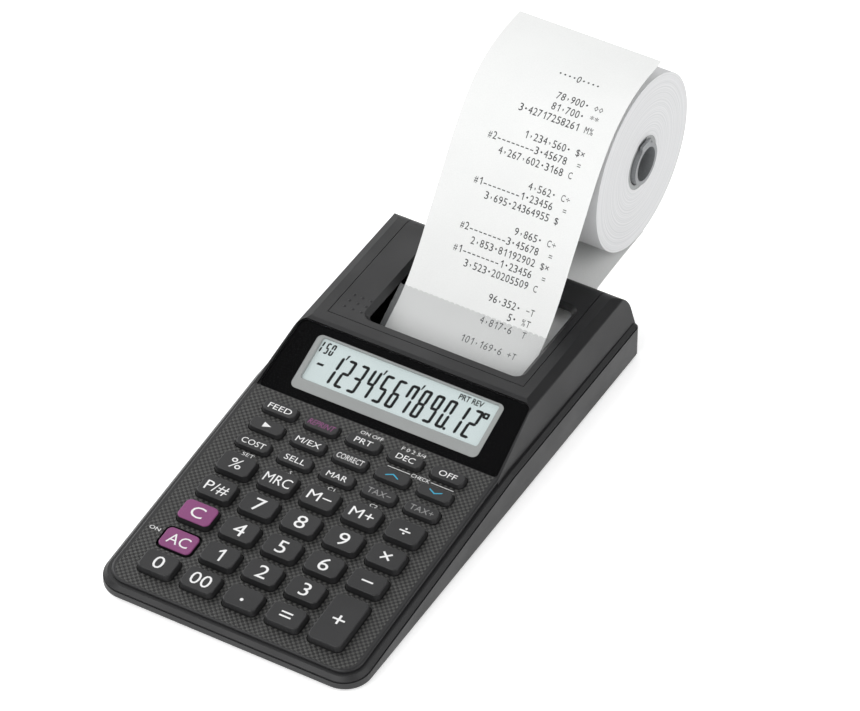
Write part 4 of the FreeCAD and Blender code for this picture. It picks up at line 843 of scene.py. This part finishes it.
@dataclass
class Display:
    """The window's printed border, the grey frame behind it and the liquid crystal panel.

    Sizes are in millimetres, up the window from its lower edge. Heights are below its upper face.
    """

    face: Typeface
    window: Plane
    window_thick: float = 1.2
    air: float = 0.06
    frame_half: float = 37.5
    frame_low: float = 4.1
    frame_high: float = 26.6
    frame_corner: float = 2.2
    # How far the frame goes on under the border: sideways, up and down, and in its corners' radius.
    frame_past: tuple[float, float, float] = (0.3, 0.25, 0.2)
    frame_edge: float = 0.4
    border_corner: float = 2.6
    border_narrows: float = 2.0
    border_inset: float = 0.1
    border_gap: float = 0.03
    foot_band: float = 1.0
    panel_half: float = 35.3
    panel_low: float = 8.7
    panel_high: float = 25.9
    panel_corner: float = 0.9
    panel_thick: float = 1.1
    below: float = 1.0
    # The frame's two inner steps: past the panel sideways, below and above it, corner, and height.
    steps: tuple[tuple[float, float, float, float, float], ...] = (
        (0.35, 0.35, 0.25, 1.1, 0.0), (0.15, 0.15, 0.1, 1.0, -0.25))
    face_lift: float = 0.02
    sign_lift: float = 0.05
    number: str = "123456789012"
    figures: Figures = Figures(10.2, 21.9, 3.4, 1.1)
    first_x: float = -28.6
    pitch: float = 5.08
    grouped: tuple[int, ...] = (0, 3, 6)
    comma: tuple[tuple[float, float], ...] = ((4.4, 21.0), (4.9, 21.2), (5.5, 23.3), (4.7, 23.1))
    point_at: tuple[float, float] = (-1.1, 10.7)
    point_wide: float = 1.1
    point_corner: float = 0.4
    minus: tuple[tuple[float, float], ...] = ((-33.1, 15.7), (-30.5, 15.7), (-30.2, 16.6), (-32.8, 16.6))
    counter: str = "150"
    counter_figures: Figures = Figures(20.4, 25.0, 1.55, 0.6)
    counter_x: tuple[float, ...] = (-35.9, -33.25, -31.2)
    modes: str = "PRT REV"
    modes_at: tuple[float, float] = (24.9, 24.1)
    modes_high: float = 2.1
    modes_wide: float = 9.6
    modes_bold: float = 0.021
    badge_at: tuple[float, float] = (32.6, 20.7)
    badge_wide: float = 2.3
    badge_high: float = 2.4
    badge_corner: float = 0.4
    badge_hole: float = 0.5

    def build(self) -> None:
        """Makes the border, frame, panel and segments."""
        self.border()
        self.bezel()
        self.signs()

    def border(self) -> None:
        """Makes the black print on the window's underside, as a band between two outlines.

        The outer outline is the window's own; the inner one is the frame's rounded rectangle. Both have
        the same number of points, matched corner by corner.
        """
        points = self.window.into(vertices("display_window")) / MM
        foot, head = points[:, 1].min(), points[:, 1].max()
        half = np.abs(points[points[:, 1] < foot + self.foot_band, 0]).max()
        inner = rounded_outline(2 * self.frame_half, self.frame_high - self.frame_low, self.frame_corner)
        inner += (0.0, (self.frame_high + self.frame_low) / 2)
        outer = rounded_outline(2 * half, head - foot, self.border_corner) + (0.0, (head + foot) / 2)
        up = (outer[:, 1] - foot) / (head - foot)
        outer[:, 0] *= (half - self.border_narrows * up - self.border_inset) / half
        # It lies just above the sheet's underside, clear of the recess that the sheet stands in.
        height = -(self.window_thick - self.border_gap) * MM
        # Screen-printed gloss black behind clear acrylic.
        black = Finish("screen_print_black", "0a0a0b", "070708", 0.12, 0.03, 0.4, 0.0, ior=1.25).make()
        piece = mesh_piece("window_border_print", self.window.level(height)(np.concatenate([outer, inner]) * MM),
                           rings_to_faces(2, len(inner)), black)
        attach(piece, "case")

    def ring(self, grown: float, foot: float, head: float, corner: float, height: float) -> Array:
        """Works out one rounded rectangle of the frame.

        Args:
            grown: its half width.
            foot: its lower edge.
            head: its upper edge.
            corner: its corners' radius.
            height: its height over the window's upper face.
        Returns:
            One row per point in the window's plane, in metres.
        """
        flat = rounded_outline(2 * grown, head - foot, corner) + (0.0, (foot + head) / 2)
        return np.column_stack([flat, np.full(len(flat), height)]) * MM

    def bezel(self) -> None:
        """Makes the frame as nested rounded rectangles stepping down to the panel, and the panel."""
        top = -(self.window_thick + self.air)
        sideways, upright, corner = self.frame_past
        outside = (self.frame_half + sideways, self.frame_low - upright, self.frame_high + upright,
                   self.frame_corner + corner)
        inside = (self.panel_half, self.panel_low, self.panel_high, self.panel_corner)
        rings = [self.ring(*outside, top - self.frame_edge), self.ring(*outside, top)]
        for sideways, under, over, corner, height in self.steps:
            rings.append(self.ring(self.panel_half + sideways, self.panel_low - under, self.panel_high + over,
                                   corner, top + height))
        rings.append(self.ring(*inside, top - self.below))
        count = len(rings[0])
        # Moulded styrene, painted silver grey.
        silver = Finish("styrene_silver_grey", "b0b3b2", "a9acab", 0.5, 0.04, 0.3, 0.004).make()
        piece = mesh_piece("display_frame", self.window.out(np.concatenate(rings)),
                           rings_to_faces(len(rings), count), silver)
        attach(piece, "case")
        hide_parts("lcd_module")
        # Liquid crystal behind a matt polariser: pale grey green, never fully white.
        pale = Finish("liquid_crystal_pale", "e8f5f5", "e3f1f1", 0.35, 0.03, 0.25, 0.0).make()
        face = top - self.below + self.face_lift
        slab = np.concatenate([self.ring(*inside, face), self.ring(*inside, face - self.panel_thick)])
        sides = rings_to_faces(2, count)[:, ::-1].tolist()
        glass = mesh_piece("display_panel", self.window.out(slab),
                           sides + [list(range(count)), list(range(2 * count - 1, count - 1, -1))], pale)
        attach(glass, "case")

    def signs(self) -> None:
        """Draws the number shown, its marks and the small signs."""
        # Lit liquid crystal: near black with a hard edge.
        lit = Finish("liquid_crystal_dark", "101314", "0c0f10", 0.4, 0.02, 0.2, 0.0)
        ink = Print("display_signs", "case", lit, "lcd_grey")
        for place, figure in enumerate(self.number):
            x = self.first_x + place * self.pitch
            self.figures.draw(ink, figure, x)
            if place in self.grouped:
                ink.outline(np.array(self.comma) + (x, 0.0))
        last_whole = self.first_x + (len(self.number) - 2) * self.pitch
        point = rounded_outline(self.point_wide, self.point_wide, self.point_corner, 3)
        ink.outline(point + (last_whole + self.point_at[0], self.point_at[1]))
        ink.outline(self.minus)
        for figure, x in zip(self.counter, self.counter_x):
            self.counter_figures.draw(ink, figure, x)
        ink.text(self.face, self.modes, self.modes_high, self.modes_at, fit=self.modes_wide,
                 offset=self.modes_bold)
        ink.outline(rounded_outline(self.badge_wide, self.badge_high, self.badge_corner, 2) + self.badge_at)
        height = -(self.window_thick + self.air + self.below - self.sign_lift)
        ink.lay(self.window.level(height * MM))
        pale = Finish("liquid_crystal_mark", "dfecec", "dae8e8", 0.35, 0.02, 0.2, 0.0)
        mark = Print("display_mark", "case", pale, "lcd_grey")
        diamond = np.array([(0.0, -1.0), (1.0, 0.0), (0.0, 1.0), (-1.0, 0.0)]) * self.badge_hole
        mark.outline(diamond + self.badge_at)
        mark.lay(self.window.level((height + self.face_lift) * MM))
        log.info("the display shows %s", self.number)

    def dress(self) -> None:
        """Gives the window its clear sheet."""
        # Acrylic sheet, clear, hard gloss: what is behind shows, with a sharp reflection over it.
        paint("display_window", Finish("clear_acrylic", "101214", "0e1012", 0.06, 0.01, 0.6, 0.0, ior=1.49,
                                       alpha=0.07))


# ---------------------------------------------------------------- paper
# The printed lines: how many lines down from the first, and what is printed there.
TAPE_LINES: list[tuple[int, str]] = [
    (-2, "••••0••••   "), (0, "78,900• ◇◇"), (1, "81,700• **"),
    (2, "3•42717258261 M%"), (4, "1,234,560• $×"), (5, "#2--------3•45678  ="),
    (6, "4,267,602•3168 C "), (8, "4,562• C÷"), (9, "#1--------1•23456  ="),
    (10, "3,695•24364955 $ "), (12, "9,865• C÷"), (13, "#2--------3•45678  ="),
    (14, "2,853•81192902 $×"), (15, "#1--------1•23456  ="), (16, "3,523•20205509 C "),
    (18, "96,352• −T"), (19, "5• %T"), (20, "4,817•6  T"), (22, "101,169•6 +T"),
]


@dataclass
class PaperSupply:
    """The strip with its printed lines, the roll, its core and the arm that carries it; sizes in mm."""

    face: Typeface
    line_pitch: float = 4.19
    first_line: float = 30.0
    column: float = 1.86
    last_column: float = 25.9
    high: float = 2.7
    lift: float = 0.03
    sign_share: float = 0.88
    sign_marks: str = "$%*#C=T+−×÷M"
    comma_up: float = 1.0
    sign_wide: float = 1.45
    point_wide: float = 0.72
    point_round: float = 0.35
    diamond: tuple[float, float, float, float] = (1.0, 0.65, 0.75, 0.5)
    narrow: tuple[tuple[str, float | None], ...] = (("1", None), ("-", 1.2), (",", 0.5), ("−", 1.3), ("=", 1.3))
    shortest: float = 0.05
    slack: float = 0.2
    climb: float = 0.45
    least_rise: float = 0.1

    def outer_face(self) -> Array:
        """Finds the strip's printed side as a line, from the free end back into the case.

        It takes the corners of all faces that look up and not sideways. It keeps those behind the
        cutter's foot that lie over a line that climbs from there to the lid's top, which leaves out the
        feed below. It sorts them by y.

        Returns:
            One row (y, z) per point, in metres, from the back to the front.
        """
        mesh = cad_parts["paper_tape"].data
        points = vertices("paper_tape")
        normals = read(mesh.polygons, "normal", 3)
        corners = read(mesh.loops, "vertex_index", 1).astype(int).reshape(len(normals), -1)
        upward = (normals[:, 2] > 0.05) & (np.abs(normals[:, 0]) < 0.1)
        side = points[np.unique(corners[upward])][:, 1:]
        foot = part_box("paper_cutter")[0]
        climbing = np.minimum(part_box("printer_cover")[1].z, foot.z + (side[:, 0] - foot.y) * self.climb)
        low, high = points[:, 2].min(), points[:, 2].max()
        least = np.maximum(climbing - self.slack * MM, low + self.least_rise * (high - low))
        side = side[(side[:, 0] > foot.y) & (side[:, 1] > least)]
        return side[np.argsort(-side[:, 0])]

    def wrap(self) -> Carry:
        """Works out how the print lies on the strip.

        Distance is summed along the line; a point is moved out by the lift, square to the line.

        Returns:
            The map from flat (x, minus the distance from the free end) to the strip's printed side.
        """
        line = self.outer_face()
        line = line[np.r_[True, np.hypot(*np.diff(line, axis=0).T) > self.shortest * MM]]
        run = np.r_[0.0, np.cumsum(np.hypot(*np.diff(line, axis=0).T))]

        def carry(flat: Array) -> Array:
            """Puts flat points on the strip: x stays, the distance becomes a place along the line.

            Args:
                flat: one row (x, minus the distance) per point.
            Returns:
                One row (x, y, z) per point.
            """
            along = -flat[:, 1]
            y, z = (np.interp(along, run, line[:, axis]) for axis in (0, 1))
            dy, dz = (np.interp(along + MM, run, line[:, axis]) - np.interp(along - MM, run, line[:, axis])
                      for axis in (0, 1))
            out = self.lift * MM / np.hypot(dy, dz)
            return np.column_stack([flat[:, 0], y + dz * out, z - dy * out])

        return carry

    def character(self, ink: Print, sign: str, x: float, down: float) -> None:
        """Prints one character.

        Args:
            ink: the print to add to.
            sign: the character.
            x: the middle of its column.
            down: its line's distance from the strip's free end.
        """
        if sign == "◇":
            tip, tip_inside, wide, wide_inside = self.diamond
            for side in (-1, 1):
                ink.outline([(x, -down + side * tip), (x - side * wide, -down), (x - side * wide_inside, -down),
                             (x, -down + side * tip_inside), (x + side * wide_inside, -down),
                             (x + side * wide, -down)])
        elif sign == "•":
            ink.outline(rounded_outline(self.point_wide, self.point_wide, self.point_round, 2) + (x, -down))
        elif sign != " ":
            tall = self.high * (self.sign_share if sign in self.sign_marks else 1.0)
            fit = dict(self.narrow).get(sign, self.sign_wide)
            ink.text(self.face, sign, tall, (x, -down + (self.comma_up if sign == "," else 0.0)), fit=fit)

    def build(self) -> None:
        """Prints the lines on the strip, one character to a column."""
        # Ink-roller print: grey black, thin and a little broken.
        ink = Print("tape_print", "case", Finish("roller_ink", "333336", "1c1c1f", 0.7, 0.05, 0.3, 0.0),
                    "paper_white")
        for number, words in TAPE_LINES:
            for back, sign in enumerate(reversed(words)):
                self.character(ink, sign, self.last_column - back * self.column,
                               self.first_line + number * self.line_pitch)
        ink.lay(self.wrap())

    def dress(self) -> None:
        """Gives paper, core, arm and cutter their finishes."""
        low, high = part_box("paper_roll")
        # Uncoated wood-free paper: matt white with a faint fibre, its wound edges in rings.
        paint("paper_tape", Finish("uncoated_paper", "f1f2f1", "edeeed", 0.85, 0.03, 0.4, 0.004))
        # The roll is the same paper as the strip, painted darker: painted shade.
        paint("paper_roll", WoundPaper("uncoated_paper_wound_painted_shade", "e0e0e1", "dbdbdc", 0.85, 0.03, 0.4, 0.004,
                                       axis=tuple((low + high) / 2)))
        # Wound grey board: matt, with a coarse fibre.
        paint("roll_core", Finish("wound_board_core", "a7a9a9", "9b9d9d", 0.8, 0.04, 0.5, 0.01))
        # Moulded grey styrene arm: even, with a soft shine.
        paint("roll_holder", Finish("moulded_styrene_grey", "86888a", "7c7e80", 0.45, 0.05, 0.4, 0.008))
        # Thin styrene cutter plate: smoky, glossy, dulls the paper under it.
        paint("paper_cutter", Finish("smoked_styrene", "bcbebf", "b6b8b9", 0.14, 0.02, 0.6, 0.002, alpha=0.15))


# ---------------------------------------------------------------- what the lid, the door and the panel hide
# How far along a cell its sleeve changes colour.
SLEEVE_SHARE = 0.7


def dress_inside() -> None:
    """Gives the hidden parts their finishes."""
    cells_low, cells_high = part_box("batteries")
    change = cells_low.y + (cells_high.y - cells_low.y) * SLEEVE_SHARE
    looks: dict[str, Finish] = {
        # Moulded nylon: black with a soft shine.
        "printer_frame": Finish("moulded_nylon_black", "1f2021", "1a1b1c", 0.5, 0.05, 0.5, 0.01),
        # Ground rubber: dull black, slightly rough all round.
        "platen_roller": Finish("ground_rubber", "2a2a2b", "222223", 0.75, 0.05, 0.25, 0.02),
        # Plated steel can: bright, with sharp reflections.
        "printer_motor": Finish("plated_steel_can", "b2b3b5", "a4a5a8", 0.3, 0.05, 0.3, 0.003, metallic=1.0),
        # Moulded acetal: milky white and waxy.
        "motor_pinion": Finish("moulded_acetal_white", "e6e4dc", "dddbd2", 0.4, 0.04, 0.3, 0.004),
        # Felt soaked in ink: violet black, with no shine and a deep nap.
        "ink_roller": Finish("inked_felt", "2a2436", "211c2b", 0.9, 0.04, 0.6, 0.08),
        # Glass fibre under solder resist: green with a soft gloss.
        "circuit_board": BoardGreen("glass_fibre_board", "2f6a44", "2a5f3d", 0.35, 0.04, 0.5, 0.004),
        # Printed foil sleeve: dark with a copper end, shining softly.
        "batteries": Jacket("printed_battery_sleeve", "2f3338", "2a2e33", 0.3, 0.03, 0.4, 0.002, metallic=0.6,
                            change_y=change),
        # Moulded rubber: black, without shine.
        "rubber_feet": Finish("moulded_rubber", "232324", "1d1d1e", 0.8, 0.04, 0.3, 0.02),
        # Zinc-plated steel: pale grey metal, a little cloudy.
        "case_screws": Finish("zinc_plated_steel", "a9aaac", "9b9c9f", 0.32, 0.05, 0.3, 0.004, metallic=1.0),
    }
    for node, look in looks.items():
        paint(node, look)


# ---------------------------------------------------------------- floor, light and camera
@dataclass(frozen=True)
class Lamp:
    """A square lamp: its name, where it hangs and how wide it is, in metres, and its power in watts."""

    name: str
    at: tuple[float, float, float]
    size: float
    power: float


@dataclass
class Studio:
    """A pale floor, soft lamps and the camera; places in metres in the row frame."""

    floor_half: float = 2.5
    floor_gap: float = 0.0002
    aim: tuple[float, float, float] = (0.0, 0.0, 0.03)
    lamps: tuple[Lamp, ...] = (
        Lamp("key_light", (-1.5, 0.3, 1.0), 1.2, 17.0),
        Lamp("front_light", (-0.2, -1.5, 1.3), 1.6, 23.0),
        Lamp("rear_light", (-0.8, 1.4, 1.1), 0.9, 5.0),
        Lamp("right_light", (1.5, 0.1, 0.9), 1.4, 11.0),
    )
    sky: float = 0.25
    lens: float = 218.34
    sensor: float = 36.0
    clip: tuple[float, float] = (0.05, 20.0)
    camera_at: tuple[float, float, float] = (0.67759, -1.16492, 1.24482)
    look_along: tuple[float, float, float] = (-0.37148, 0.64247, -0.67025)

    def floor(self) -> None:
        """Makes a wide pale floor just under the object."""
        corners = np.array([[-1, -1], [1, -1], [1, 1], [-1, 1]]) * self.floor_half
        points = np.column_stack([corners, np.full(len(corners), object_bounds()[0][2] - self.floor_gap)])
        # Matt white acrylic lit from below, so that shadows on it stay faint.
        pale = Finish("matt_white_floor", "fbfbfb", "f9f9f9", 0.95, 0.02, 5.0, 0.0, glow=0.5).make()
        mesh_piece("floor", points, [(0, 1, 2, 3)], pale)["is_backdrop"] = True

    def light(self) -> None:
        """Hangs the lamps, all aimed at the object, and gives the sky an even glow."""
        for lamp in self.lamps:
            light = bpy.data.lights.new(lamp.name, "AREA")
            light.energy = lamp.power
            light.size = lamp.size
            holder = bpy.data.objects.new(lamp.name, light)
            holder.location = lamp.at
            holder.rotation_euler = (Vector(self.aim) - Vector(lamp.at)).to_track_quat("-Z", "Y").to_euler()
            bpy.context.scene.collection.objects.link(holder)
        world = bpy.data.worlds.new("sky")
        world.use_nodes = True
        background = world.node_tree.nodes["Background"]
        background.inputs["Color"].default_value = linear("ffffff")
        background.inputs["Strength"].default_value = self.sky
        bpy.context.scene.world = world
        bpy.context.scene.view_settings.view_transform = "Standard"

    def camera(self) -> None:
        """Stands the camera where it sees the object from the front right, well above."""
        lens = bpy.data.cameras.new("camera")
        lens.lens = self.lens
        lens.sensor_width = self.sensor
        lens.clip_start, lens.clip_end = self.clip
        holder = bpy.data.objects.new("camera", lens)
        holder.location = self.camera_at
        holder.rotation_euler = Vector(self.look_along).to_track_quat("-Z", "Y").to_euler()
        bpy.context.scene.collection.objects.link(holder)
        bpy.context.scene.camera = holder


def main() -> None:
    """Builds and dresses every part of the calculator, then the studio."""
    logging.basicConfig(level=logging.INFO)
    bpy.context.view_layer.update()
    face = Typeface()
    panel = Plane.on("top_case")
    shell = Shell()
    shell.dress(panel)
    shell.build()
    keys = Keyboard(face, panel)
    keys.dress()
    keys.build()
    display = Display(face, Plane.on("display_window"))
    display.build()
    display.dress()
    paper = PaperSupply(face)
    paper.dress()
    paper.build()
    dress_inside()
    studio = Studio()
    studio.floor()
    studio.light()
    studio.camera()


if __name__ == "__main__":
    main()
